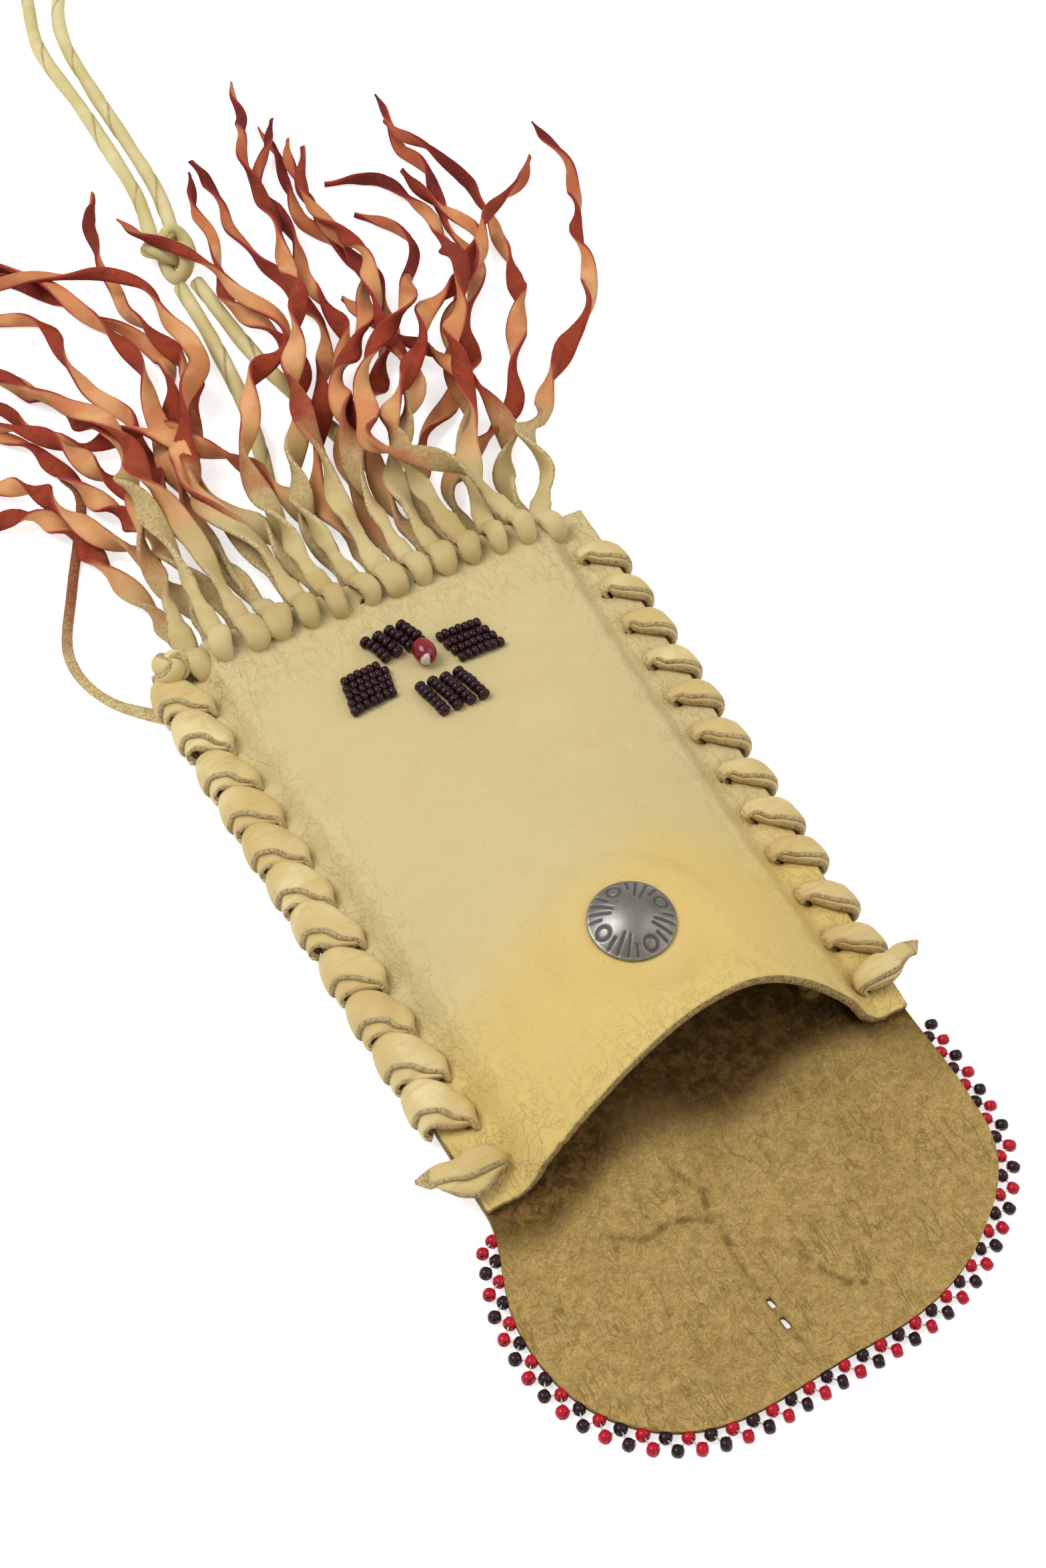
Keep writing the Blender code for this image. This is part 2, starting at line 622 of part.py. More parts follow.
def make_thong(name, x, below, above):
    """A thong folded through its seam hole, with one tail from under the seam and one from over it."""
    line_a, turn_a, width_a = below
    line_b, turn_b, width_b = above
    hole_y, edge_y = POUCH_LENGTH - THONG_INSET, POUCH_LENGTH
    low, low_edge, top, top_edge = seam_heights(x)
    lift = THONG_THICKNESS / 2
    loop = np.array([(x, edge_y + 0.5, low_edge), (x, hole_y + 1.8, low), (x, hole_y, low + lift),
                     (x, hole_y, top - lift), (x, hole_y + 1.8, top + 0.3), (x, edge_y - 0.6, top_edge + 0.3)])
    loop_way = [(0, -1, 0), (0, -1, 0), (0, 0, 1), (0, 0, 1), (0, 1, 0.1), (0, 1, 0)]
    loop_width = [THONG_WIDTH, 3.6, THONG_IN_HOLE, THONG_IN_HOLE, 5.4, 5.8]
    line = np.vstack([line_a[::-1], loop, line_b])
    turn = np.concatenate([-turn_a[::-1], np.zeros(len(loop)), turn_b])
    width = np.concatenate([width_a[::-1], loop_width, width_b])
    way = np.vstack([tangents(line_a[::-1]), loop_way, tangents(line_b)])
    n, m = len(line_a), len(line_a) + len(loop)
    way[n - 1], way[m] = (0, -1, 0), (0, 1, 0)
    way /= np.linalg.norm(way, axis=1)[:, None]
    level = np.cross([0, 0, 1.0], way)
    level[m:] *= -1
    level[n - 1:m + 1] = (1, 0, 0)
    side = square_to(level, way)
    up = np.cross(way, side)
    c, s = np.cos(turn)[:, None], np.sin(turn)[:, None]
    section = flat_section(width, np.full(len(line), THONG_THICKNESS))
    return loft(name, line, side * c + up * s, up * c - side * s, section, RUST)


# Beadwork
def lanes(count, beads, along_bag, corner, lean):
    """Bead centres of a block, lane after lane there and back, as one thread strings them."""
    x0, y0 = corner
    centres = []
    for lane in range(count):
        order = range(beads) if lane % 2 == 0 else range(beads - 1, -1, -1)
        for b in order:
            a, c = lane * LANE_PITCH, b * SEED_BEAD_LENGTH
            x, y = (x0 + a, y0 - c + lean * a) if along_bag else (x0 + c, y0 - a + lean * c)
            z = FRONT.top(x, y, SEED_BEAD / 2) + BEAD_SEAT + SEED_BEAD * 0.55
            centres.append(np.array([x, y, z]))
    return centres


def make_rosette():
    x, y = ROSETTE_CENTRE
    blocks = (("rosette_block_fringe_left", 6, True, (x - 10.4, y + 13.0), 0.08),
              ("rosette_block_fringe_right", 7, False, (x + 6.0, y + 4.4), 0.0),
              ("rosette_block_mouth_left", 7, False, (x - 20.0, y + 1.6), 0.12),
              ("rosette_block_mouth_right", 7, True, (x - 3.2, y - 6.6), 0.0))
    for name, beads, along_bag, corner, lean in blocks:
        bead_string(name, lanes(4, beads, along_bag, corner, lean), SEED_BEAD, DARK_BEAD)
    r, bore, half = CENTRE_BEAD / 2, CENTRE_BEAD_BORE / 2, CENTRE_BEAD_LENGTH / 2
    profile = [(bore, -half * 0.8), (r * 0.6, -half), (r * 0.92, -half * 0.5), (r, 0), (r * 0.92, half * 0.5),
               (r * 0.6, half), (bore, half * 0.8)]
    z = FRONT.top(x, y, half) + BEAD_SEAT + r
    turned("centre_bead", profile, 12, (x, y, z), (0, 1, 0), RED_BEAD)


def flap_edge():
    """Points along the flap's outline from its left corner round to its right one, with the outward direction."""
    y = -FLAP_LENGTH * (1 - (1 - np.linspace(0.02, 0.9935, 300)) ** 1.6)
    x = half_width(y)
    left = np.stack([-x, y], 1)
    line = np.vstack([left, np.stack([x, y], 1)[::-1]])
    run = np.concatenate([[0], np.cumsum(np.linalg.norm(np.diff(line, axis=0), axis=1))])
    return line, run


def make_bead_edging():
    """Pairs of an inner and an outer bead on one thread along the flap's edge."""
    line, run = flap_edge()
    at = np.linspace(4, run[-1] - 4, EDGE_BEAD_PAIRS)
    pitch = at[1] - at[0]
    centres = []
    for s in at:
        for reach, shift in ((EDGE_BEAD / 2 + BEAD_SEAT + 0.1, -0.25), (EDGE_BEAD / 2 + EDGE_OUTER_REACH, 0.25)):
            p = np.array([np.interp(s + shift * pitch, run, line[:, k]) for k in (0, 1)])
            q = np.array([np.interp(s + shift * pitch + 0.5, run, line[:, k]) for k in (0, 1)])
            d = (q - p) / np.linalg.norm(q - p)
            out = np.array([d[1], -d[0]])
            p = p - out * reach if out @ p < 0 else p + out * reach
            on_ground = smooth_step(0, FLAP_DROP_LENGTH, -p[1])
            z = EDGE_BEAD / 2 * 1.1 + 0.1 + (EDGE_UNDERSIDE - 1.0) * (1 - on_ground)
            centres.append(np.array([*p, z]))
    o = bead_string("bead_edging", centres, EDGE_BEAD, RED_BEAD)
    o.data.materials.append(material("bead_edging_dark", DARK_BEAD))
    points = np.array([tuple(v.co) for v in o.data.vertices]) / MM
    middles = np.array(centres)
    for face in o.data.polygons:
        middle = points[list(face.vertices)].mean(0)
        bead = int(np.linalg.norm(middles - middle, axis=1).argmin())
        face.material_index = bead // 2 % 2


# Concho
def make_concho():
    seat, axis = concho_seat(FRONT)
    r, w, rim = CONCHO_DIAMETER / 2, CONCHO_WALL, 0.5
    foot = seat + axis * 1.0
    post, bore = CONCHO_POST / 2, SCREW_SHANK / 2 + 0.3
    profile = [(0, CONCHO_DOME), (r * 0.35, CONCHO_DOME * 0.93), (r * 0.68, CONCHO_DOME * 0.68),
               (r * 0.9, CONCHO_DOME * 0.34), (r, rim), (r, 0), (r - 1.0, 0), (r * 0.6, CONCHO_DOME * 0.72 - w),
               (post * 1.5, CONCHO_DOME * 0.9 - w), (post * 1.5, -0.7), (post, -0.7), (post, -LEATHER - 1.0),
               (bore, -LEATHER - 1.0), (bore, 0.2), (0, 0.2)]
    turned("concho", profile[::-1], 16, foot, axis, SILVER)
    head = seat - axis * (LEATHER + SCREW_SLACK)
    h, shank = SCREW_HEAD_HEIGHT, SCREW_SHANK / 2
    profile = [(0, -h), (SCREW_HEAD * 0.35, -h), (SCREW_HEAD / 2, -h * 0.7), (SCREW_HEAD / 2, 0), (shank, 0),
               (shank, 2.4), (0, 2.4)]
    turned("concho_screw", profile, 16, head, axis, SILVER)


# Strap
def strap_line(ground, spacing):
    way = route(ground, spacing)
    return np.column_stack([way, np.full(len(way), STRAP / 2 + STRAP_FLOOR)])


def make_strap(pile):
    low = STRAP_FLOOR
    for name, x, knot in (("strap_left_strand", -1, "strap_stop_knot_left"), ("strap_right_strand", 1, "strap_stop_knot_right")):
        hole_x, hole_y = x * STRAP_HOLE_PLACE[0], STRAP_HOLE_PLACE[1]
        ground = LEFT_STRAND if x < 0 else RIGHT_STRAND
        line = strap_line([(hole_x, hole_y + STRAP / 2 + 0.3), *ground], STRAP_POINT_SPACING)
        tube(name, line, STRAP, BUCKSKIN)
        pile.add(line, np.full(len(line), STRAP / 2), STRAP / 2)
        panel, roof = BACK.underside(hole_x, hole_y, STRAP / 2), BACK.top(hole_x, hole_y, STOP_KNOT / 2)
        neck = STRAP * 0.3
        profile = [(0, low), (STRAP * 0.4, low), (STRAP / 2, low + 1), (STRAP / 2, panel - 0.9), (neck, panel - 0.4),
                   (neck, roof + 0.4), (STOP_KNOT * 0.42, roof + 0.9), (STOP_KNOT / 2, roof + 2.6),
                   (STOP_KNOT * 0.36, roof + 4.6), (0, roof + 5.2)]
        turned(knot, profile, 8, (hole_x, hole_y, 0), (0, 0, 1), BUCKSKIN)
    far = strap_line([*FAR_LEFT, *FAR_RIGHT], STRAP_POINT_SPACING)
    tube("strap_loop", far, STRAP, BUCKSKIN)
    pile.add(far, np.full(len(far), STRAP / 2), STRAP / 2)
    t = np.linspace(0, 2 * np.pi, 28, endpoint=False)
    wide, long, high = (KNOT_WIDTH - STRAP) / 5.4, (KNOT_LENGTH - STRAP) / 6, STRAP * 0.62
    x = KNOT_CENTRE[0] + wide * (np.sin(t) + 2 * np.sin(2 * t))
    y = KNOT_CENTRE[1] + long * (np.cos(t) - 2 * np.cos(2 * t))
    z = STRAP_FLOOR + STRAP / 2 + high - high * np.sin(3 * t)
    knot = np.stack([x, y, z], 1)
    tube("strap_knot", knot, STRAP, BUCKSKIN, cyclic=True)
    pile.add(knot, np.full(len(knot), STRAP / 2), STRAP / 2)


def make_corner_knot():
    """The knotted suede end of the seam thong at the left corner, with its foot under the seam."""
    x, y = FIRST_THONG_X - THONG_PITCH, POUCH_LENGTH - 0.6 * THONG_INSET
    top = FRONT.top(x, y, 2.5)
    profile = [(0, top + 0.3), (2.6, top + 0.3), (3.6, top + 1.8), (3.8, top + 3.2), (3.0, top + 5.0),
               (1.6, top + 5.8), (0, top + 5.9)]
    turned("corner_knot", profile, 10, (x, y, 0), (0, 0, 1), SUEDE)


def stand_on_middle(cords):
    """Moves the root so that the part's own box, without the strap, stands on the middle of its base."""
    bpy.context.view_layer.update()
    graph = bpy.context.evaluated_depsgraph_get()
    corners = []
    for o in BAG.objects:
        if o.data and o.name not in cords:
            e = o.evaluated_get(graph)
            mesh = e.to_mesh()
            corners += [e.matrix_world @ v.co for v in mesh.vertices]
            e.to_mesh_clear()
    c = np.array([tuple(v) for v in corners])
    low, high = c.min(0), c.max(0)
    ROOT.location = (-(low[0] + high[0]) / 2, -(low[1] + high[1]) / 2, -low[2])


clear_scene()
BAG = collection("beaded_fringe_bag")
CUTTERS = collection("cutters")
ROOT = bpy.data.objects.new("bag_root", None)
BAG.objects.link(ROOT)
BACK = make_back()
FRONT = make_front()
make_side_lace("left_side_lace", -1, LACE_TAIL, BUCKSKIN)
make_side_lace("right_side_lace", 1, [], BUCKSKIN)
make_rosette()
make_bead_edging()
make_concho()
pile = Pile()
make_strap(pile)
lace_tail = strap_line(LACE_TAIL, TAIL_RING_SPACING)
lace_tail[:, 2] = LACE_THICKNESS / 2 + 0.1
pile.add(lace_tail, np.full(len(lace_tail), LACE_THICKNESS / 2), LACE_TAIL_WIDTH / 2)
for number, (x, (below, above)) in enumerate(zip(HOLES, lay_fringe(pile)), 1):
    make_thong(f"fringe_thong_{number:02d}", x, below, above)
make_corner_knot()
stand_on_middle(("strap_left_strand", "strap_right_strand", "strap_loop", "strap_knot"))
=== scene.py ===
"""Dresses the laced buckskin pouch: hides, whip lacing, strap, dyed fringe, beadwork and concho."""
import math

import bmesh
import bpy
import numpy as np
from mathutils import Matrix, Vector
from mathutils.bvhtree import BVHTree


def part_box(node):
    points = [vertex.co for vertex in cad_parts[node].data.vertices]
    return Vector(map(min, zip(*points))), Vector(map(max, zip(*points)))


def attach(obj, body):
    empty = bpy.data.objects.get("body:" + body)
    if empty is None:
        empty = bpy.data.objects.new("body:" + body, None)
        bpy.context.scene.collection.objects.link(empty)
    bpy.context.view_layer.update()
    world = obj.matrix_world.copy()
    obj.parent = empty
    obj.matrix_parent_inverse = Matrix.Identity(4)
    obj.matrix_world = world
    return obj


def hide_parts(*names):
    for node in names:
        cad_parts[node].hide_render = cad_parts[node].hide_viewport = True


bl_info = {
    "name": "Beaded Fringe Bag",
    "version": (1, 0, 0),
    "blender": (4, 5, 0),
    "location": "View3D > Sidebar > Fringe Bag",
    "description": "Builds a laced buckskin pouch with beadwork, a concho, a strap and a dyed fringe",
    "category": "Object",
}

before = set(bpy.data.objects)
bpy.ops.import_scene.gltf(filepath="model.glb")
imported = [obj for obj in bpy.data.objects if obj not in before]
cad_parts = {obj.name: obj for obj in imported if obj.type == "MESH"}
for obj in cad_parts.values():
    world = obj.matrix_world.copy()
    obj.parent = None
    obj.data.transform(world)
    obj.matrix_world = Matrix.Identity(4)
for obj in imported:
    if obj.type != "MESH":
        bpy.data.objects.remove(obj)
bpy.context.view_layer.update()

# Lengths below are in millimetres from the middle of the mouth line, as the pouch is cut: X across,
# Y to the fringe
MM = 0.001

# Hides: outline, arched mouth, and how far their undersides lie above the ground
POUCH_LENGTH = 152.0
SEAM_HALF_WIDTH = 56.0
MOUTH_HALF_WIDTH = 48.0
FLAP_LENGTH = 60.0
FLAP_HALF_WIDTH = 53.0
FLAP_STRAIGHT = 22.0
FLAP_ROUNDNESS = 2.4
FLAP_UNDERSIDE = 1.0
FLAP_DROP_LENGTH = 26.0
MOUTH_ARCH = 28.0
MOUTH_RIDGE_OFFSET = 9.0
MOUTH_SCOOP = 7.0
PANEL_GAP = 0.3
EDGE_UNDERSIDE = 2.2
STRAP_LIFT = 2.6
SEAM_LIFT = 4.7
EDGE_SLOPE = 5.0

# Side lacing: holes and the laces' own sizes on the left (-1) and right (1) side
LACE_PITCH = 11.8
LACE_INSET = 8.0
HOLE_INSET = 6.0
LACE_LAST_FROM_MOUTH = 6.0
LACE_FIRST_FROM_SEAM = 15.0
LACE_SLANTS = {-1: 6.0, 1: -4.5}
LACE_SHARES = {-1: 1.0, 1: 0.8}
LACE_GAP = 0.3

# Fringe: seam holes and how the tails leave them
THONG_PITCH = 7.0
THONG_INSET = 6.0
FIRST_THONG_X = -46.0
THONG_CLEARANCE = 1.05
THONG_COLUMNS = 14
TAIL_RING_SPACING = 18.0
ROOT_START = 5.0
ROOT_STRAIGHT = 8.0

# Beadwork
ROSETTE_CENTRE = (1.0, 125.0)
CENTRE_BEAD_SHIFT = (-1.2, -1.4)
EDGE_BEAD_PAIRS = 44
# The inner and the outer bead of a pair: how far out from the edge, and how far along it as a share
EDGE_BEAD_PLACES = ((0.8, -0.25), (3.1, 0.25))
# Each block's first bead from the rosette's middle, its step from lane to lane, its lanes' heading,
# their beads and how much thicker than the others those are
ROSETTE_BLOCKS = (
    ("rosette_block_fringe_left", (-11.2, 8.7), (3.05, 0.17), (0.36, -1.0), (5, 5, 5, 5), 1.18),
    ("rosette_block_fringe_right", (4.5, 2.4), (0.6, -2.6), (1.0, 0.0), (7, 7, 7, 7), 1.0),
    ("rosette_block_mouth_left", (-20.1, 0.8), (-0.45, -2.3), (1.0, 0.08), (6, 7, 7, 7, 7), 1.0),
    ("rosette_block_mouth_right", (-6.4, -9.6), (3.2, -0.07), (0.15, -1.0), (7, 7, 7, 7), 1.18),
)

# Strap and its knot
STRAP_HOLE_PLACE = (32.0, 12.0)
STRAP_FLOOR = 0.1
KNOT_CENTRE = (4.0, 289.0)
KNOT_WIDTH = 15.0
KNOT_LENGTH = 22.0
STRAP_SPACING = 1.6
STRAP_COLUMNS = 20
LAP_LENGTH = 34
# Radius, height and half band width of the small knots
STOP_KNOT = (2.2, 2.2, 1.1)
STOP_KNOT_SINK = 3.2
CORNER_KNOT = (3.2, 2.6, 1.75)
CORNER_KNOT_SHIFT = (1.2, 0.6, 0.8)

# Concho, and the slit in the flap that it buttons through
CONCHO_PLACE = (0.7, 32.0)
CONCHO_SINK = 0.8
CONCHO_DOME = 3.2
CONCHO_CUT = 0.3
# Each ray of a group: its turn from the group's middle in degrees, and where it starts from the centre
CONCHO_RAYS = ((-22, 5.6), (-8, 4.0), (7, 4.2), (20, 6.0))
CONCHO_AXIS = (-0.02, -0.06, 1.0)
SLIT = ((-9.9, -22.0), (-8.4, -46.5))
SLIT_GAPE = 0.27
SLIT_CLOSED = 0.62  # share of its length, from the mouth, along which its lips touch
SLIT_ROW = 60  # row of the grid, from the flap's end, in which the slit's column is chosen
FLAP_CRACKS = ([(-11, -20), (-9.9, -22), (-9.0, -40), (-8.4, -46.5), (-8.0, -49)],
               [(-31, -14), (-24, -18), (-17, -17.5), (-11, -20)], [(-11, -20), (-9.5, -15), (-12.5, -9)],
               [(1, -34), (4, -40), (9.3, -46)])

THONG_COUNT = 14
HOLES = [FIRST_THONG_X + THONG_PITCH * k for k in range(THONG_COUNT)]
HOLE_REACH = 1.7  # from a punched hole's middle to its corners, for lacing and fringe alike

# How finely the surfaces are drawn
BACK_ROWS, FLAP_ROWS, BACK_COLUMNS = 130, 140, 170
FRONT_ROWS, FRONT_COLUMNS = 230, 200
CONCHO_ROWS, CONCHO_COLUMNS = 54, 240
ROUTE_STEPS = 24
LACE_STEPS = 6
BEAD_COLUMNS = 14
RIPPLE_WAVES = 7

# Camera, floor and lamps
LENS, SENSOR = 45.94, 36.0
CAMERA_TILT, CAMERA_TURN = math.radians(54.0), math.radians(27.85)
CAMERA_PLACE = (-115.7, -142.7, 361.2)
FLOOR_REACH = 3.0
LAMPS = (("key", (-0.55, 0.35, 1.1), 0.7, 9.0), ("fill", (0.9, -0.6, 1.0), 1.2, 5.0))

# The way of each fringe tail over the ground, from its seam hole to its tip: an under and an over
# tail for each thong
TAILS = [
    ([(-52, 190), (-58, 208), (-74, 217), (-96, 222), (-112, 238)],
     [(-42, 193), (-42, 218), (-58, 242), (-74, 262), (-84, 290)]),
    ([(-44, 184), (-54, 205), (-68, 231), (-88, 246), (-104, 262)],
     [(-40, 200), (-38, 228), (-50, 262), (-66, 282), (-88, 292)]),
    ([(-39, 179), (-45, 205), (-50, 226), (-62, 246), (-80, 256)],
     [(-36, 195), (-39, 225), (-52, 256), (-72, 268), (-98, 270)]),
    ([(-33, 195), (-29, 222), (-35, 262), (-42, 289), (-70, 296)],
     [(-30, 200), (-22, 232), (-24, 277), (-38, 303), (-62, 318)]),
    ([(-26, 205), (-15, 242), (-17, 268), (-36, 298), (-56, 330)],
     [(-21, 178), (-26, 204), (-6, 250), (-20, 290), (-62, 292)]),
    ([(-18, 184), (-20, 213), (-9, 250), (-16, 288), (-4, 329)],
     [(-13, 183), (-5, 218), (14, 233), (10, 266), (-6, 302)]),
    ([(-7, 190), (-14, 210), (-40, 230), (-60, 258), (-78, 282)],
     [(-3, 192), (15, 225), (11, 262), (17, 300), (22, 320)]),
    ([(2, 188), (15, 217), (28, 238), (25, 286), (25, 329)],
     [(4, 188), (10, 218), (27, 258), (37, 313), (50, 356)]),
    ([(10, 184), (22, 210), (48, 240), (44, 292), (49, 334)],
     [(11, 186), (21, 214), (45, 250), (46, 298), (53, 321)]),
    ([(15, 178), (19, 205), (32, 245), (37, 300), (52, 332)],
     [(20, 182), (35, 205), (45, 250), (46, 290), (53, 312)]),
    ([(24, 182), (52, 210), (75, 248), (82, 300), (85, 333)],
     [(20, 180), (44, 218), (74, 245), (95, 268), (112, 283)]),
    ([(34, 178), (66, 204), (90, 262), (86, 296), (81, 317)],
     [(41, 180), (50, 206), (70, 250), (72, 292), (54, 301)]),
    ([(38, 176), (49, 202), (62, 236), (80, 252), (75, 293)],
     [(22, 169), (14, 186), (30, 214), (50, 236), (64, 268), (57, 286)]),
    ([(45, 172), (51, 182), (55, 194), (46, 218), (38, 252)],
     [(55, 166), (52, 178), (70, 194), (101, 230), (117, 270), (121, 299)]),
]
# The lace's pointed end from its last hole: across, along, up, width and thickness of each ring
LACE_END = [(-0.4, 0.0, 1.7, 6.0, 1.3), (1.4, -0.2, 3.0, 8.6, 1.6), (4.2, -0.2, 3.2, 9.4, 1.7),
            (6.6, 0.3, 2.7, 8.2, 1.4), (8.8, 1.3, 2.4, 6.6, 1.1), (11.5, 2.6, 2.0, 5.4, 1.0),
            (13.6, 3.4, 1.6, 3.2, 0.9), (15.4, 4.0, 1.4, 0.8, 0.6)]
LACE_TAIL = [(-51, 227), (-50, 216), (-62, 190), (-70, 170), (-66, 153)]
LEFT_STRAND = [(-31, 36), (-18, 151), (-3, 215), (1, 250), (1.7, 277.7)]
RIGHT_STRAND = [(31, 36), (24, 154), (15, 211), (9, 243), (6.5, 277.7)]
FAR_LEFT = [(1.8, 297.9), (5.6, 320), (6, 343), (6, 366), (5, 398), (10, 423), (18, 452), (24, 480)]
FAR_RIGHT = [(40, 476), (32, 446), (18, 418), (13, 398), (12, 372), (12, 343), (11.5, 320), (8.2, 297.9)]

panel_low, panel_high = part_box("front_panel")
ORIGIN = np.array([(panel_low[0] + panel_high[0]) / 2, panel_high[1] - POUCH_LENGTH * MM,
                   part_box("back_panel")[0][2] - FLAP_UNDERSIDE * MM])


def tint(red, green, blue):
    """A colour written in 0 to 255 as a screen shows it, turned into linear light."""
    return tuple(v / 255 / 12.92 if v < 10.3 else ((v / 255 + 0.055) / 1.055) ** 2.4
                 for v in (red, green, blue))


# Sizes and colours a user would change
def length_property(name, description, millimetres):
    return bpy.props.FloatProperty(name=name, description=description, default=millimetres * MM,
                                   min=0.0, unit="LENGTH", subtype="DISTANCE", precision=5)


def colour_property(name, description, *screen):
    return bpy.props.FloatVectorProperty(name=name, description=description, default=tint(*screen),
                                         size=3, min=0.0, max=1.0, subtype="COLOR")


class BagSizes(bpy.types.PropertyGroup):
    leather: length_property("Leather", "Thickness of the hide", 1.8)
    lace_width: length_property("Lace width", "Width of the whip lacing over the edge", 10.8)
    lace_thickness: length_property("Lace thickness", "Thickness of the whip lacing", 1.7)
    thong_width: length_property("Thong width", "Width of a fringe thong", 5.8)
    thong_thickness: length_property("Thong thickness", "Thickness of a fringe thong", 1.6)
    strap: length_property("Strap", "Thickness of the rolled strap thong", 4.2)
    seed_bead: length_property("Seed bead", "Diameter of a rosette bead", 2.45)
    seed_bead_length: length_property("Seed bead length", "Length of a rosette bead on its thread", 1.62)
    edge_bead: length_property("Edge bead", "Diameter of a bead on the flap's edge", 2.7)
    concho: length_property("Concho", "Diameter of the concho", 17.8)


class BagColours(bpy.types.PropertyGroup):
    cream: colour_property("Cream hide", "Smooth hide toward the fringe", 206, 188, 136)
    golden: colour_property("Golden hide", "Smooth hide toward the mouth", 216, 188, 113)
    lace: colour_property("Lace", "Smooth side of the lacing", 208, 183, 122)
    suede: colour_property("Suede", "Flesh side of the hide", 204, 171, 103)
    suede_dark: colour_property("Dark suede", "Hollows of the flesh side", 176, 144, 82)
    cut_edge: colour_property("Cut edge", "Fuzzy cut edges of the hide", 184, 160, 108)
    dyed_smooth: colour_property("Dyed smooth side", "Smooth side of a fringe thong", 208, 136, 86)
    dyed_suede: colour_property("Dyed suede", "Flesh side of a fringe thong", 152, 62, 38)
    dyed_edge: colour_property("Dyed edge", "Cut edges of a fringe thong", 150, 36, 44)
    dyed_tip: colour_property("Dyed tip", "Darkest dye toward the tips", 104, 34, 28)
    strap: colour_property("Strap", "Rolled strap thong", 205, 190, 132)
    dark_bead: colour_property("Dark bead", "Dark plum glass", 34, 11, 17)
    red_bead: colour_property("Red bead", "Red glass", 170, 10, 30)
    silver: colour_property("Concho metal", "Bright metal of the concho", 146, 142, 134)


def sizes():
    return bpy.context.scene.bag_sizes


def colours():
    return bpy.context.scene.bag_colours


# Shader expressions
class Wire:
    """An output socket or a number in a material: an expression on wires adds its Math nodes."""

    def __init__(self, look, source):
        self.look, self.source = look, source

    def math(self, operation, *others):
        return self.look.math(operation, self, *others)

    def __add__(self, other):
        return self.math("ADD", other)

    def __sub__(self, other):
        return self.math("SUBTRACT", other)

    def __mul__(self, other):
        return self.math("MULTIPLY", other)

    def __rsub__(self, other):
        return self.look.math("SUBTRACT", other, self)

    __radd__ = __add__
    __rmul__ = __mul__

    def step(self, low, high, to_low=0.0, to_high=1.0):
        """Runs smoothly from one value to the other while the wire runs from low to high."""
        return self.look.node("ShaderNodeMapRange", {"interpolation_type": "SMOOTHSTEP"},
                              {"Value": self, "From Min": low, "From Max": high,
                               "To Min": to_low, "To Max": to_high})


class Look:
    """A procedural material on the Principled shader."""

    def __init__(self, name, **constants):
        self.material = bpy.data.materials.new(name)
        self.material.use_nodes = True
        self.tree = self.material.node_tree
        self.shader = self.tree.nodes["Principled BSDF"]
        for socket, value in constants.items():
            self.shader.inputs[socket.replace("_", " ")].default_value = value

    def feed(self, socket, value):
        if isinstance(value, Wire):
            self.tree.links.new(value.source, socket)
        elif isinstance(value, (tuple, list)) and socket.type == "RGBA":
            socket.default_value = (*value[:3], 1.0)
        else:
            socket.default_value = value

    def node(self, kind, settings=None, inputs=None, output=0):
        """Adds a node: its settings first, then the values or links of its sockets."""
        n = self.tree.nodes.new(kind)
        for key, value in (settings or {}).items():
            setattr(n, key, value)
        for key, value in (inputs or {}).items():
            self.feed(n.inputs[key], value)
        return Wire(self, n.outputs[output])

    def math(self, operation, *values):
        return self.node("ShaderNodeMath", {"operation": operation}, dict(enumerate(values)))

    def place(self):
        return self.node("ShaderNodeTexCoord", output="Object")

    def attribute(self, name):
        return self.node("ShaderNodeAttribute", {"attribute_name": name}, output="Fac")

    def stretch(self, x, y, turn=0.0):
        """The object's place, stretched along X and Y and turned round Z."""
        return self.node("ShaderNodeMapping", {}, {"Vector": self.place(), "Rotation": (0.0, 0.0, turn),
                                                   "Scale": (x, y, 1.0)})

    def noise(self, scale, detail=3.0, roughness=0.55, distortion=0.0, at=None):
        return self.node("ShaderNodeTexNoise", {}, {"Vector": at or self.place(), "Scale": scale,
                                                    "Detail": detail, "Roughness": roughness,
                                                    "Distortion": distortion}, "Fac")

    def lines(self, width, *noise):
        """Thin lines where a noise passes its middle value: 1 on the line, 0 from the width onwards."""
        return (self.noise(*noise) - 0.5).math("ABSOLUTE").step(0.0, width, 1.0, 0.0)

    def cells(self, scale):
        return self.node("ShaderNodeTexVoronoi", {}, {"Vector": self.place(), "Scale": scale}, "Distance")

    def mix(self, a, b, share):
        """One colour passing into the other."""
        return self.node("ShaderNodeMix", {"data_type": "RGBA"}, {0: share, 6: a, 7: b}, 2)

    def bump(self, height, distance, strength):
        return self.node("ShaderNodeBump", {}, {"Height": height, "Distance": distance, "Strength": strength})

    def finish(self, **sockets):
        for name, value in sockets.items():
            self.feed(self.shader.inputs[name.replace("_", " ")], value)
        return self.material


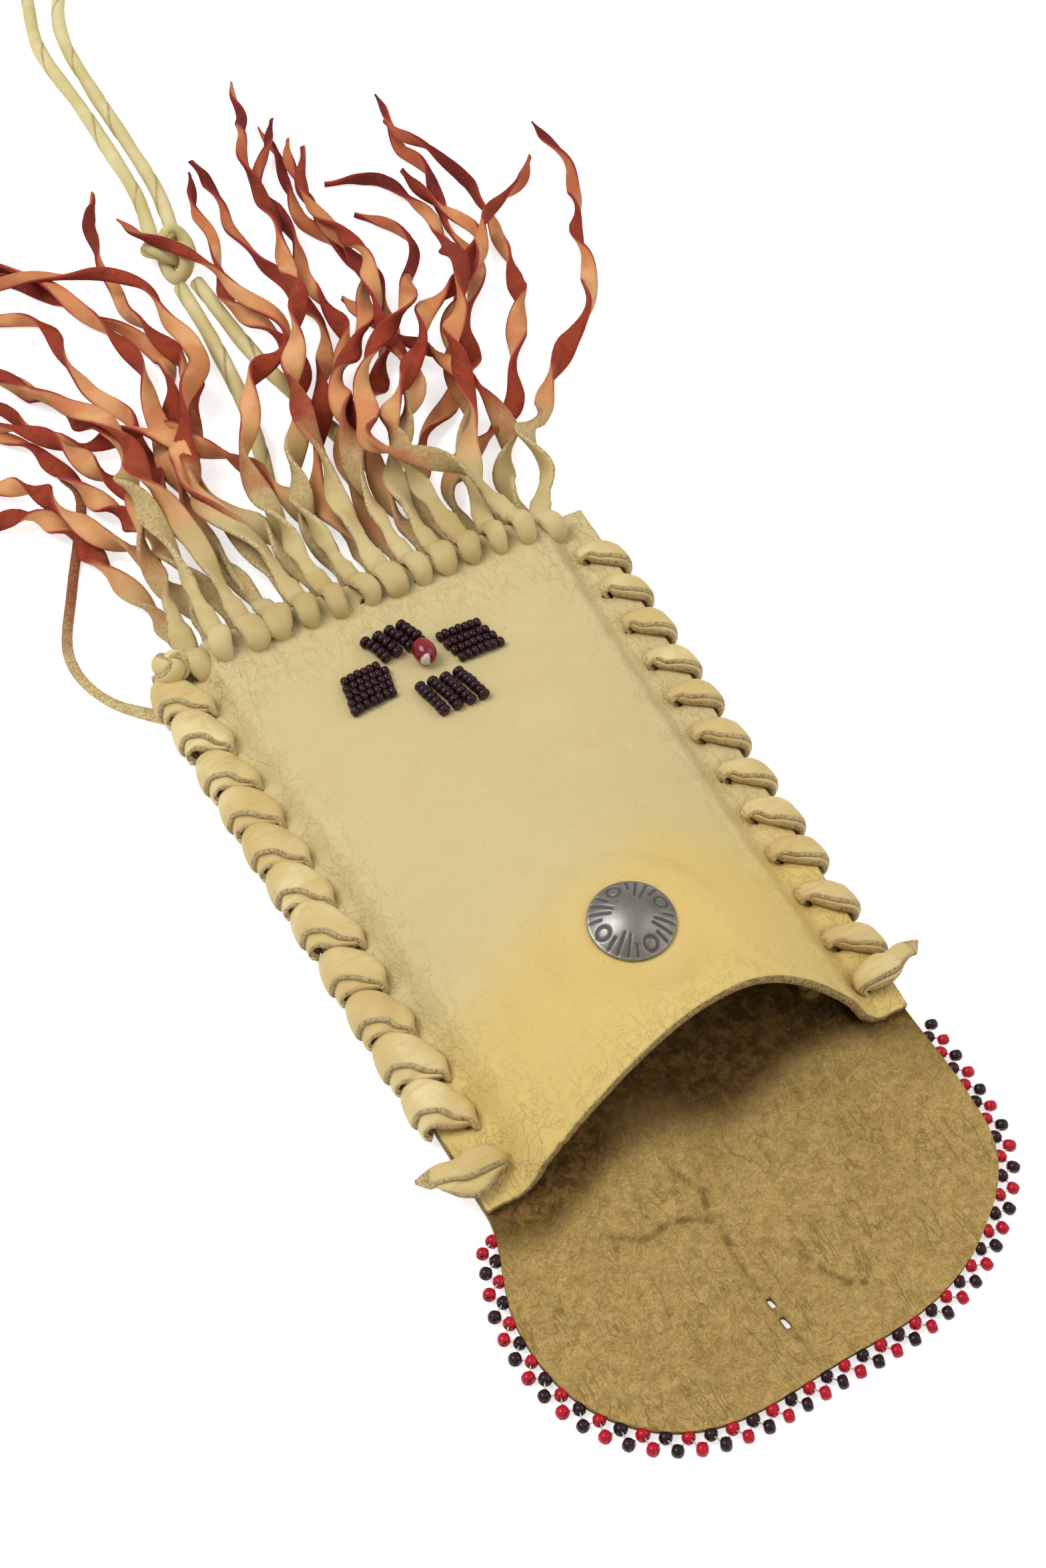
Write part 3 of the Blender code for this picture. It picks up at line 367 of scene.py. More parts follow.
def smooth_hide():
    """Grain side of the hide: cream passing to gold, fine pores, drawn creases with painted shade in them,
    and rubbed spots.
    """
    c, look = colours(), Look("smooth_hide", Specular_IOR_Level=0.28)
    gold = (look.attribute("gold") + (look.noise(28.0, 3.0) - 0.5) * 0.45).step(0.0, 1.0)
    colour = look.mix(tuple(c.cream), tuple(c.golden), gold)
    mottle = look.noise(90.0, 4.0, 0.6)
    colour = look.mix(colour, tint(188, 162, 100), mottle.step(0.5, 0.85) * 0.22)
    colour = look.mix(colour, tint(218, 201, 152), look.noise(55.0, 2.0).step(0.52, 0.8) * 0.3)
    pores = look.cells(1000.0).step(0.0, 0.3, 1.0, 0.0)
    colour = look.mix(colour, tint(164, 134, 74), pores * look.noise(260.0).step(0.42, 0.6) * 0.4)
    specks = look.cells(170.0).step(0.0, 0.07, 1.0, 0.0) * look.noise(40.0).step(0.52, 0.6)
    colour = look.mix(colour, tint(132, 96, 48), specks * 0.55)
    crease = look.attribute("crease")
    wrinkles = [look.lines(0.022, scale, 3.0, 0.6, 0.5, look.stretch(*ways))
                for scale, ways in ((150.0, (1.8, 0.7)), (260.0, (0.9, 1.3)))]
    folds = (wrinkles[0] + wrinkles[1] * 0.6) * (crease * 0.85 + 0.1)
    # Painted shade in the drawn creases
    colour = look.mix(colour, tint(150, 118, 60), folds.math("MINIMUM", 1.0) * 0.3)
    height = look.noise(1500.0, 4.0, 0.65) * 0.5 + look.cells(900.0) * 0.35 + mottle * 1.2 - folds * 0.9
    return look.finish(Base_Color=colour, Roughness=mottle.step(0.2, 0.8, 0.62, 0.82),
                       Normal=look.bump(height, 0.00028, 0.6))


def rough_hide():
    """Flesh side of the hide: pebbled, fuzzy suede with darker hollows, pale rubbed tips, painted shade in
    its cracks and painted shade inside the pouch.
    """
    c, look = colours(), Look("rough_hide", Specular_IOR_Level=0.12)
    lumps = look.noise(420.0, 5.0, 0.7, 0.5)
    fuzz = look.noise(1300.0, 5.0, 0.75, 1.0)
    inside_shade = look.attribute("inside_shade")
    colour = look.mix(tuple(c.suede_dark), tuple(c.suede), lumps.step(0.32, 0.62))
    colour = look.mix(colour, tint(206, 174, 110), fuzz.step(0.54, 0.7) * 0.45)
    colour = look.mix(colour, tint(136, 100, 46), fuzz.step(0.45, 0.3) * 0.45)
    colour = look.mix(colour, tint(158, 122, 60), look.noise(45.0, 2.0).step(0.5, 0.7) * 0.2)
    hairs = look.lines(0.02, 420.0, 4.0, 0.7, 2.5)
    colour = look.mix(colour, tint(214, 188, 132), hairs * look.noise(70.0).step(0.5, 0.66) * 0.5)
    cracks = look.lines(0.014, 230.0, 3.0, 0.55, 0.6, look.stretch(1.0, 0.22, 0.3))
    cracks = cracks * look.noise(75.0, 2.0).step(0.42, 0.6) * (1.0 - inside_shade)
    # Painted shade in the fine cracks
    colour = look.mix(colour, tint(120, 90, 44), cracks * 0.4)
    folds = look.attribute("crack")
    # Painted shade in the flap's pressed cracks and folds
    colour = look.mix(colour, tint(92, 66, 30), folds * 0.6)
    # Painted shade inside the pouch, darker farther in and mottled by the lumps; also on the front panel's
    # underside and on the stop knots
    hollow = look.mix(tint(76, 54, 22), tint(132, 100, 48), lumps.step(0.4, 0.66))
    colour = look.mix(colour, hollow, (inside_shade + (lumps - 0.5) * 0.5).step(0.15, 0.85) * 0.92)
    height = lumps * 1.1 + fuzz * 0.9 - cracks * 0.7 - folds * 1.5 + hairs * 0.3
    return look.finish(Base_Color=colour, Roughness=0.95, Normal=look.bump(height, 0.00055, 0.8))


def cut_hide():
    """Raw cut edge of the hide: pale, stringy fuzz."""
    c, look = colours(), Look("cut_hide", Specular_IOR_Level=0.1)
    fuzz = look.noise(1300.0, 4.0, 0.7, 1.0)
    colour = look.mix(tint(128, 98, 54), tuple(c.cut_edge), fuzz.step(0.36, 0.56))
    return look.finish(Base_Color=colour, Roughness=0.95, Normal=look.bump(fuzz, 0.0005, 0.9))


def lace_hide():
    """Lacing: smooth satin grain with fine drawn lines, and a fuzzy pale band where it was cut."""
    c, look = colours(), Look("lace_hide", Specular_IOR_Level=0.3)
    fuzz = look.noise(1200.0, 4.0, 0.7, 1.0)
    cut = (look.attribute("cut") + (fuzz - 0.5) * 0.5).step(0.42, 0.6)
    tone = look.noise(70.0, 3.0)
    colour = look.mix(tuple(c.lace), tint(226, 206, 150), tone.step(0.45, 0.7))
    colour = look.mix(colour, tint(196, 160, 92), tone.step(0.48, 0.25) * 0.55)
    strands = look.noise(260.0, 2.0, 0.5, 0.0, look.stretch(0.35, 3.0))
    colour = look.mix(colour, tint(188, 156, 92), strands.step(0.56, 0.72) * 0.35)
    fuzzy = look.mix(tint(150, 122, 74), tint(212, 190, 142), fuzz.step(0.34, 0.54))
    colour = look.mix(colour, fuzzy, cut)
    colour = look.mix(colour, tint(120, 90, 46), look.attribute("shade") * 0.8)
    colour = look.mix(colour, tint(150, 82, 46), look.attribute("rust") * tone.step(0.2, 0.6, 0.55, 0.95))
    height = fuzz * (cut * 3.0 + 0.15) + strands * 0.35 + look.noise(1600.0) * 0.15
    return look.finish(Base_Color=colour, Roughness=cut.step(0.0, 1.0, 0.55, 0.95),
                       Normal=look.bump(height, 0.00035, 0.7))


def dyed_hide():
    """Dyed fringe: cream at the root, tan smooth side, rust suede side, crimson edges and darker tips."""
    c, look = colours(), Look("dyed_hide", Specular_IOR_Level=0.22)
    patch, fuzz = look.noise(60.0, 3.0), look.noise(1300.0, 4.0, 0.7, 0.8)
    smooth_side, run, rim = look.attribute("smooth_side"), look.attribute("run"), look.attribute("rim")
    dye = (run + (patch - 0.5) * 0.35).step(0.0, 0.22)
    deep = (run + (look.noise(32.0, 2.0) - 0.5) * 1.1).step(0.3, 1.05)
    smooth = look.mix(tuple(c.dyed_smooth), tint(170, 84, 50), deep)
    smooth = look.mix(smooth, tint(226, 172, 116), patch.step(0.42, 0.62) * (1.0 - deep) * 0.85)
    rough = look.mix(tuple(c.dyed_suede), tuple(c.dyed_tip), deep.step(0.1, 0.9))
    rough = look.mix(rough, tint(190, 104, 66), fuzz.step(0.55, 0.72) * 0.5)
    streaks = look.noise(220.0, 2.0, 0.5, 0.6).step(0.52, 0.66)
    rough = look.mix(rough, tint(120, 34, 34), streaks * 0.45)
    cream = look.mix(tint(190, 166, 108), tint(208, 188, 136), patch.step(0.35, 0.65))
    suede = look.mix(tint(172, 146, 94), tint(198, 175, 124), fuzz.step(0.36, 0.56))
    rooted = look.mix(suede, cream, smooth_side)
    root_rim = look.mix(tint(156, 130, 84), tint(218, 198, 152), fuzz.step(0.4, 0.55))
    rooted = look.mix(rooted, root_rim, rim * 0.8)
    dyed = look.mix(rough, smooth, smooth_side)
    dyed = look.mix(dyed, tuple(c.dyed_edge), rim * look.noise(160.0, 2.0).step(0.25, 0.55) * 0.85)
    blush = look.mix(rooted, tint(206, 150, 96), dye.step(0.0, 0.6) * 0.6)
    colour = look.mix(blush, dyed, dye)
    height = fuzz * (1.25 - smooth_side) + look.noise(120.0) * 0.8
    return look.finish(Base_Color=colour, Roughness=smooth_side.step(0.0, 1.0, 0.92, 0.62),
                       Normal=look.bump(height, 0.00032, 0.6))


def rolled_hide():
    """Rolled strap thong: smooth outside with a fuzzy lap line winding round it."""
    c, look = colours(), Look("rolled_hide", Specular_IOR_Level=0.25)
    fuzz = look.noise(1200.0, 4.0, 0.7, 0.8)
    cut = (look.attribute("cut") + (fuzz - 0.5) * 0.4).step(0.45, 0.65)
    tone = look.noise(50.0, 3.0)
    colour = look.mix(tuple(c.strap), tint(222, 210, 160), tone.step(0.45, 0.7))
    colour = look.mix(colour, tint(168, 144, 88), tone.step(0.45, 0.25) * 0.6)
    colour = look.mix(colour, look.mix(tint(158, 136, 84), tint(204, 186, 132), fuzz.step(0.35, 0.55)), cut)
    return look.finish(Base_Color=colour, Roughness=cut.step(0.0, 1.0, 0.6, 0.95),
                       Normal=look.bump(fuzz * (cut * 2.0 + 0.3) + tone, 0.0003, 0.7))


def glass(name, colour, lift):
    """Opaque glass bead: each bead a touch lighter or darker, with fine scratches and dust in the bore."""
    look = Look(name, IOR=1.5, Specular_IOR_Level=0.3)
    pick = look.attribute("pick")
    tone = look.mix(colour, lift, pick * 0.5 + look.noise(500.0, 2.0) * 0.25)
    tone = look.mix(tone, tint(150, 132, 116), look.attribute("bore") * 0.2)
    scratches = look.noise(2400.0, 2.0)
    return look.finish(Base_Color=tone, Roughness=scratches.step(0.3, 0.8, 0.1, 0.28),
                       Normal=look.bump(scratches, 0.00002, 0.4))


def centre_glass():
    """Worn red glass over a white core that shows at one chipped end."""
    look = Look("centre_glass", IOR=1.52)
    chip = (look.attribute("chip") + (look.noise(700.0, 3.0) - 0.5) * 0.5).step(0.45, 0.6)
    red = look.mix(tint(112, 8, 24), tint(150, 14, 36), look.noise(300.0, 3.0).step(0.35, 0.7))
    colour = look.mix(red, tint(226, 204, 190), chip)
    return look.finish(Base_Color=colour, Roughness=chip.step(0.0, 1.0, 0.16, 0.6),
                       Normal=look.bump(look.noise(900.0), 0.00004, 0.5))


def bead_thread():
    """Pale twisted thread."""
    look = Look("thread", Specular_IOR_Level=0.2)
    twist = look.noise(2200.0, 2.0)
    colour = look.mix(tint(206, 200, 188), tint(236, 232, 222), twist.step(0.4, 0.6))
    return look.finish(Base_Color=colour, Roughness=0.8, Normal=look.bump(twist, 0.0001, 0.5))


def aged_silver():
    """Antiqued metal: bright rubbed dome, brown-grey patina and black in the engraved lines."""
    c, look = colours(), Look("aged_silver", IOR=2.2)
    cut = look.attribute("engraved")
    patina = look.noise(160.0, 4.0, 0.6)
    brushed = look.noise(900.0, 3.0, 0.6)
    colour = look.mix(tuple(c.silver), tint(118, 110, 98), patina.step(0.42, 0.72) * 0.7)
    colour = look.mix(colour, tint(12, 11, 10), cut.step(0.2, 0.5))
    return look.finish(Base_Color=colour, Metallic=cut.step(0.2, 0.5, 1.0, 0.0),
                       Roughness=(patina * 0.3 + brushed * 0.25).step(0.1, 0.5, 0.36, 0.54) + cut * 0.3,
                       Normal=look.bump(brushed, 0.00003, 0.5))


MAKERS = {"dyed_hide": dyed_hide, "smooth_hide": smooth_hide, "rough_hide": rough_hide,
          "cut_hide": cut_hide, "lace_hide": lace_hide, "rolled_hide": rolled_hide,
          "thread": bead_thread, "centre_glass": centre_glass, "aged_silver": aged_silver,
          "dark_glass": lambda: glass("dark_glass", tuple(colours().dark_bead), tint(54, 22, 29)),
          "red_glass": lambda: glass("red_glass", tuple(colours().red_bead), tint(192, 20, 44))}


def finish_named(name):
    """The material of that name, made when it is first asked for."""
    return bpy.data.materials.get(name) or MAKERS[name]()


# Surfaces
def smooth_step(low, high, x):
    """From 0 at low to 1 at high: t * t * (3 - 2 t) of the share t between them."""
    t = np.clip((x - low) / (high - low), 0.0, 1.0)
    return t * t * (3.0 - 2.0 * t)


def ripple(x, y, seed, size):
    """Sum of plane waves of random heading, from -1 to 1 or so, whose lengths lie about the size."""
    rng = np.random.default_rng(seed)
    total = 0.0
    for _ in range(RIPPLE_WAVES):
        a, wave, phase = rng.uniform(0, 2 * np.pi), size * rng.uniform(0.6, 1.6), rng.uniform(0, 2 * np.pi)
        total = total + np.sin((x * np.cos(a) + y * np.sin(a)) * 2 * np.pi / wave + phase)
    return total / 3.0


def put_mesh(name, points, faces, looks, attributes=None, face_looks=None):
    """A mesh object at the origin from points in the pouch's own millimetres and arrays of corners."""
    mesh = bpy.data.meshes.new(name)
    mesh.from_pydata((np.asarray(points) * MM + ORIGIN).tolist(), [], faces)
    for look in looks:
        mesh.materials.append(finish_named(look))
    for key, values in (attributes or {}).items():
        layer = mesh.attributes.new(key, "FLOAT", "POINT")
        layer.data.foreach_set("value", np.asarray(values, np.float32).ravel())
    if face_looks is not None:
        mesh.polygons.foreach_set("material_index", np.asarray(face_looks, np.int32))
    mesh.shade_smooth()
    mesh.update()
    obj = bpy.data.objects.new(name, mesh)
    bpy.context.scene.collection.objects.link(obj)
    return obj


def dress(piece, node):
    """Hangs a finished piece on the root body and hides the solid it stands for."""
    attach(piece, "root")
    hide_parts(node)


def box_middle(node):
    """Middle of a solid's box in the pouch's own millimetres, and the box's size."""
    low, high = (np.array(c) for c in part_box(node))
    return ((low + high) / 2 - ORIGIN) / MM, (high - low) / MM


def grid_faces(rows, columns, around=False):
    """Quads between neighbouring rows and columns of a grid, closed round its columns if asked."""
    r, c = np.meshgrid(np.arange(rows - 1), np.arange(columns if around else columns - 1), indexing="ij")
    a, b = r * columns + c, r * columns + (c + 1) % columns
    return np.stack([a, b, b + columns, a + columns], -1).reshape(-1, 4)


def sweep(name, line, side, up, section, looks, attributes=None):
    """A closed section carried along a line: point = line + side * across + up * height.

    The ends are capped, and it lies flat where it meets the ground.
    """
    rows, columns = section.shape[:2]
    points = line[:, None] + side[:, None] * section[..., :1] + up[:, None] * section[..., 1:]
    points[..., 2] = np.maximum(points[..., 2], 0)
    first, last = list(range(columns)), list(range((rows - 1) * columns, rows * columns))
    faces = [*grid_faces(rows, columns, True).tolist(), first[::-1], last]
    if faces_inward(points.reshape(-1, 3), faces):
        faces = [f[::-1] for f in faces]
    return put_mesh(name, points.reshape(-1, 3), faces, looks, attributes)


def faces_inward(points, faces):
    """Whether the signed volume of the fans that make up the faces is below zero."""
    p = points[np.array([f for f in faces if len(f) == 4])] - points.mean(0)
    fans = (np.cross(p[:, 1], p[:, 2]), np.cross(p[:, 2], p[:, 3]))
    return sum(np.einsum("ij,ij->i", p[:, 0], fan).sum() for fan in fans) < 0


def circle(steps):
    """Even angles once round."""
    return np.linspace(0, 2 * np.pi, steps, endpoint=False)


def in_between(points, steps):
    """In-between points, p(t) cubic through each point and its neighbours."""
    p = np.vstack([2 * points[0] - points[1], points, 2 * points[-1] - points[-2]])
    t = np.linspace(0, 1, steps, endpoint=False)[:, None]
    fine = [0.5 * (2 * b + (c - a) * t + (2 * a - 5 * b + 4 * c - d) * t**2
                   + (3 * b - 3 * c + d - a) * t**3)
            for a, b, c, d in zip(p, p[1:], p[2:], p[3:])]
    return np.vstack([*fine, p[-2]])


def run_along(line):
    """Length of the line up to each of its points."""
    return np.concatenate([[0], np.cumsum(np.linalg.norm(np.diff(line, axis=0), axis=1))])


def route(points, spacing):
    """A smooth way through the points, read off at even steps."""
    fine = in_between(np.array(points, float), ROUTE_STEPS)
    run = run_along(fine)
    at = np.linspace(0, run[-1], max(2, int(round(run[-1] / spacing)) + 1))
    return np.stack([np.interp(at, run, column) for column in fine.T], 1)


def headings(line):
    """Unit heading of the line at each of its points."""
    way = np.gradient(line, axis=0)
    return way / np.maximum(np.linalg.norm(way, axis=1), 1e-9)[:, None]


def square_to(side, way):
    """Unit part of each side that is square to its heading."""
    side = side - (side * way).sum(1)[:, None] * way
    return side / np.maximum(np.linalg.norm(side, axis=1), 1e-9)[:, None]


# Leather shapes
def half_width(y):
    """Half width of the back piece: straight taper on the pouch, a superellipse round the flap's corners."""
    pouch = MOUTH_HALF_WIDTH + (SEAM_HALF_WIDTH - MOUTH_HALF_WIDTH) * np.clip(y / POUCH_LENGTH, 0, 1)
    swell = (FLAP_HALF_WIDTH - MOUTH_HALF_WIDTH) * smooth_step(0, FLAP_STRAIGHT, -y)
    t = np.clip((-y - FLAP_STRAIGHT) / (FLAP_LENGTH - FLAP_STRAIGHT), 0, 1)
    return (pouch + swell) * (1 - t**FLAP_ROUNDNESS) ** (1 / FLAP_ROUNDNESS)


def back_underside(x, y):
    """Underside of the back piece: low along the laced edges, lifted over the strap and the seam."""
    inside = smooth_step(0, EDGE_SLOPE, half_width(np.maximum(y, 0)) - np.abs(x) - LACE_INSET - 1)
    lift = STRAP_LIFT + (SEAM_LIFT - STRAP_LIFT) * smooth_step(POUCH_LENGTH - 30, POUCH_LENGTH - 12, y)
    down = smooth_step(0, FLAP_DROP_LENGTH, -y)
    return (EDGE_UNDERSIDE + lift * inside) * (1 - down) + FLAP_UNDERSIDE * down


def arch(x, y):
    """Rise of the front panel, 1 - (1 - share ^ 1.2) ^ 2, from 0 at the laced edges to 1 at its ridge."""
    foot = half_width(y) - LACE_INSET + 1.0
    ridge = MOUTH_RIDGE_OFFSET * (1 - smooth_step(0, 90, y))
    share = np.where(x > ridge, (foot - x) / (foot - ridge), (foot + x) / (foot + ridge))
    return 1 - (1 - np.clip(share, 0, 1) ** 1.2) ** 2.0


def front_underside(x, y):
    """Underside of the front panel: on the back piece, and arch * (share to the mouth) ^ 1.25 above it."""
    open_share = np.clip(1 - y / (POUCH_LENGTH - 12), 0, 1)
    rise = MOUTH_ARCH * open_share**1.25 * arch(x, y)
    return back_underside(x, y) + sizes().leather / MM + PANEL_GAP + rise


def flap_outline(x, y):
    """The flap's own unevenness: its right side is drawn in, and its end is a little short."""
    right = smooth_step(0, 25, x)
    start, end = 47 - 22 * right, 60 - 10 * right
    short = 5 * smooth_step(-45, 0, x) * np.clip((-y - start) / (end - start), 0, 1)
    return x - 4.4 * smooth_step(0, -24, y) * smooth_step(0, 50, x), y + short


def front_top(x, y):
    """Top of the front panel, drawn flat under the concho."""
    middle_x, middle_y = CONCHO_PLACE
    lean_x, lean_y, _ = CONCHO_AXIS
    plane = free_top(middle_x, middle_y) - CONCHO_SINK - (x - middle_x) * lean_x - (y - middle_y) * lean_y
    under = smooth_step(21, 9.5, np.hypot(x - middle_x, y - middle_y))
    return free_top(x, y) * (1 - under) + plane * under


def free_top(x, y):
    """Top of the front panel, with drawn puckers beside the lacing and a few soft swells."""
    from_edge = half_width(y) - np.abs(x)
    between = -np.cos((y - POUCH_LENGTH + LACE_FIRST_FROM_SEAM) * 2 * np.pi / LACE_PITCH)
    pucker = 0.8 * np.exp(-((from_edge - 7) / 5.5) ** 2) * between * smooth_step(0, 12, y)
    return front_underside(x, y) + sizes().leather / MM + pucker + 0.25 * ripple(x, y, 5, 34)


def hide_sheet(name, x, y, top, looks, attributes, keep):
    """A hide: its grid of tops, without the faces in its holes, with its thickness below them."""
    rows, columns = x.shape
    quads = grid_faces(rows, columns)
    middle = np.stack([x.ravel()[quads].mean(1), y.ravel()[quads].mean(1)], 1)
    quads = quads[keep(middle[:, 0], middle[:, 1])]
    points = np.stack([x, y, top], -1).reshape(-1, 3)
    a, b, c = (points[quads[:, k]] for k in (0, 1, 3))
    if np.cross(b - a, c - a)[:, 2].sum() < 0:
        quads = quads[:, ::-1]
    obj = put_mesh(name, points, quads.tolist(), looks, attributes)
    wall = obj.modifiers.new("thickness", "SOLIDIFY")
    wall.thickness = sizes().leather
    wall.offset = -1.0
    wall.material_offset = 1
    wall.material_offset_rim = 2
    wall.use_quality_normals = True
    return obj


def lace_rows():
    """Y of each lacing hole, from the seam to the mouth."""
    turns = 1 + int((POUCH_LENGTH - LACE_FIRST_FROM_SEAM - LACE_LAST_FROM_MOUTH) / LACE_PITCH)
    return POUCH_LENGTH - LACE_FIRST_FROM_SEAM - LACE_PITCH * np.arange(turns)


def hole_keeper(extra):
    """Keeps the faces away from the lacing holes, the seam holes and what extra(x, y) says."""
    places = [(side * (half_width(y) - HOLE_INSET), y) for side in (-1, 1) for y in lace_rows()]
    places += [(x, POUCH_LENGTH - THONG_INSET) for x in HOLES]

    def keep(x, y):
        near = np.zeros(len(x), bool)
        for px, py in places:
            near |= np.abs(x - px) + np.abs(y - py) < HOLE_REACH
        return ~(near | extra(x, y))

    return keep


# Operators
class MakeStage(bpy.types.Operator):
    """Pale floor, even light, soft studio lamps and the camera at the photograph's angle"""
    bl_idname = "bag.make_stage"
    bl_label = "Stage"

    def execute(self, context):
        scene = context.scene
        scene.view_settings.view_transform = "Standard"
        self.make_camera(scene)
        self.make_floor(scene)
        self.make_light(scene)
        return {"FINISHED"}

    def make_camera(self, scene):
        data = bpy.data.cameras.new("camera")
        data.lens, data.sensor_width, data.sensor_fit = LENS, SENSOR, "AUTO"
        camera = bpy.data.objects.new("camera", data)
        scene.collection.objects.link(camera)
        tilt, turn = CAMERA_TILT, CAMERA_TURN
        forward = Vector((math.sin(turn) * math.cos(tilt), math.cos(turn) * math.cos(tilt), -math.sin(tilt)))
        right = Vector((math.cos(turn), -math.sin(turn), 0.0))
        matrix = Matrix((right, right.cross(forward), -forward)).transposed().to_4x4()
        matrix.translation = Vector(CAMERA_PLACE) * MM + Vector(ORIGIN)
        camera.matrix_world = matrix
        scene.camera = camera

    def make_floor(self, scene):
        mesh = bpy.data.meshes.new("floor")
        corners = [(x * FLOOR_REACH, y * FLOOR_REACH, 0) for x, y in ((-1, -1), (1, -1), (1, 1), (-1, 1))]
        mesh.from_pydata(corners, [], [(0, 1, 2, 3)])
        floor = bpy.data.objects.new("floor", mesh)
        scene.collection.objects.link(floor)
        look = Look("pale_floor", Roughness=1.0, Specular_IOR_Level=0.0)
        seen = [look.node("ShaderNodeLightPath", output=ray)
                for ray in ("Is Camera Ray", "Is Glossy Ray", "Is Transmission Ray")]
        seen = (seen[0] + seen[1] + seen[2]).math("MINIMUM", 1.0)
        look.finish(Base_Color=(0.9, 0.9, 0.9), Emission_Color=(1.0, 1.0, 1.0), Emission_Strength=seen * 0.62)
        mesh.materials.append(look.material)

    def make_light(self, scene):
        world = bpy.data.worlds.new("even_light")
        scene.world = world
        world.use_nodes = True
        back = world.node_tree.nodes["Background"]
        back.inputs["Color"].default_value = (1.0, 1.0, 1.0, 1.0)
        back.inputs["Strength"].default_value = 0.55
        for name, place, size, power in LAMPS:
            lamp = bpy.data.lights.new(name, "AREA")
            lamp.shape, lamp.size, lamp.energy = "SQUARE", size, power
            obj = bpy.data.objects.new(name, lamp)
            scene.collection.objects.link(obj)
            obj.location = place
            obj.rotation_euler = (-Vector(place)).to_track_quat("-Z", "Y").to_euler()


class MakeHides(bpy.types.Operator):
    """Back piece with its flap and slit, and the arched front panel"""
    bl_idname = "bag.make_hides"
    bl_label = "Hides"

    def execute(self, context):
        self.make_back()
        self.make_front()
        return {"FINISHED"}

    def make_back(self):
        """Rows down the pouch and on down the flap, closer at its end; columns closer at the sides."""
        t = np.linspace(0, 1, FLAP_ROWS)
        flap = -FLAP_LENGTH * 0.9985 * (1 - (1 - t) ** 1.35)
        y = np.concatenate([np.linspace(POUCH_LENGTH, 0, BACK_ROWS)[:-1], flap])
        u = np.linspace(-1, 1, BACK_COLUMNS)
        u = np.sign(u) * (1 - (1 - np.abs(u)) ** 1.08)
        y, u = np.meshgrid(y, u, indexing="ij")
        x, cut_faces = self.open_slit(u * half_width(y), y)
        top = back_underside(x, y) + sizes().leather / MM
        inner = smooth_step(-FLAP_LENGTH, -FLAP_LENGTH + 9, y) * smooth_step(0, 6, half_width(y) - np.abs(x))
        top = top + smooth_step(4, -16, y) * 0.45 * ripple(x, y, 3, 26) * inner
        top = top + 0.2 * ripple(x, y, 8, 9) * inner
        # Cracks pressed into the flap; rough_hide darkens their mark as painted shade
        crack = np.zeros_like(x)
        for way in FLAP_CRACKS:
            across = self.apart(x, y, route(way, 0.5)) + 0.3 * ripple(x, y, 13, 4)
            crack = np.maximum(crack, np.exp(-(across / 0.42) ** 2))
            top = top - 0.35 * np.exp(-(across / 1.2) ** 2)
        top = np.maximum(top, sizes().leather / MM + 0.2)
        # Painted shade inside the pouch: none out on the flap, rising across the mouth to full shade a little
        # way in, sooner towards the sides
        inside_shade = smooth_step(-13, 12, y + 4 * ripple(x, y, 41, 30) + 6 * smooth_step(20, 50, np.abs(x - 6)))
        marks = {"inside_shade": inside_shade, "gold": np.full_like(x, 0.4), "crease": np.zeros_like(x), "crack": crack}
        back = hide_sheet("back_hide", *flap_outline(x, y), top, ("rough_hide", "smooth_hide", "cut_hide"),
                          marks, hole_keeper(cut_faces))
        dress(back, "back_panel")

    def apart(self, x, y, way):
        """Distance of each place from the nearest point of a way."""
        return np.min([np.hypot(x - px, y - py) for px, py in way], axis=0)

    def open_slit(self, x, y):
        """Two neighbouring columns drawn to the lips of the slit, which gapes in its lower part."""
        (top_x, top_y), (end_x, end_y) = SLIT

        def opening(at):
            """Half the gape at a share of the slit's length: two lips' openings in its lower part."""
            return SLIT_GAPE * np.sin(np.clip((at - SLIT_CLOSED) / (1 - SLIT_CLOSED), 0, 1) * 2 * np.pi) ** 2

        share = (y[:, :1] - top_y) / (end_y - top_y)
        line = top_x + (end_x - top_x) * np.clip(share, -0.4, 1.4)
        middle = len(x) - SLIT_ROW
        first = int(np.argmin(np.abs(x[middle] - line[middle])))
        column = np.arange(x.shape[1])[None] - first - 0.5
        gape = opening(share)
        shift = line - (x[:, first:first + 1] + x[:, first + 1:first + 2]) / 2
        near = np.exp(-(column / 9) ** 2) * smooth_step(-0.4, 0.0, share) * smooth_step(1.4, 1.0, share)
        lips = np.where(column < 0, -1.0, 1.0) * (gape + 0.06) * np.exp(-((np.abs(column) - 0.5) / 2.5) ** 2)
        moved = x + shift * near + lips * smooth_step(-0.05, 0.05, share) * smooth_step(1.05, 0.95, share)

        def cut_faces(px, py):
            at = (py - top_y) / (end_y - top_y)
            wide = opening(at)
            return (np.abs(px - top_x - (end_x - top_x) * at) < wide * 0.6 + 0.02) & (wide > 0.12)

        return moved, cut_faces

    def make_front(self):
        """Rows from the seam to the mouth, each one scooped in the middle; even columns between the sides."""
        y, u = np.meshgrid(np.linspace(POUCH_LENGTH, 0, FRONT_ROWS), np.linspace(-1, 1, FRONT_COLUMNS),
                           indexing="ij")
        x = u * half_width(y)
        y = y + MOUTH_SCOOP * arch(u * MOUTH_HALF_WIDTH, np.zeros_like(y)) * (1 - y / POUCH_LENGTH)
        ragged = 0.16 * ripple(x * 3, y, 11, 8) * smooth_step(6, 0, y)
        from_edge = half_width(y) - np.abs(x)
        top = front_top(x, y)
        gold = smooth_step(68, 26, y - 0.25 * np.minimum(x, 20)) * 0.9 + 0.05 + 0.08 * ripple(x, y, 21, 45)
        # Where the drawn creases are strongest; smooth_hide darkens them with painted shade
        crease = 0.7 * smooth_step(22, 8, from_edge) + 0.6 * smooth_step(22, 4, y)
        crease = crease + 0.5 * smooth_step(124, 140, y)
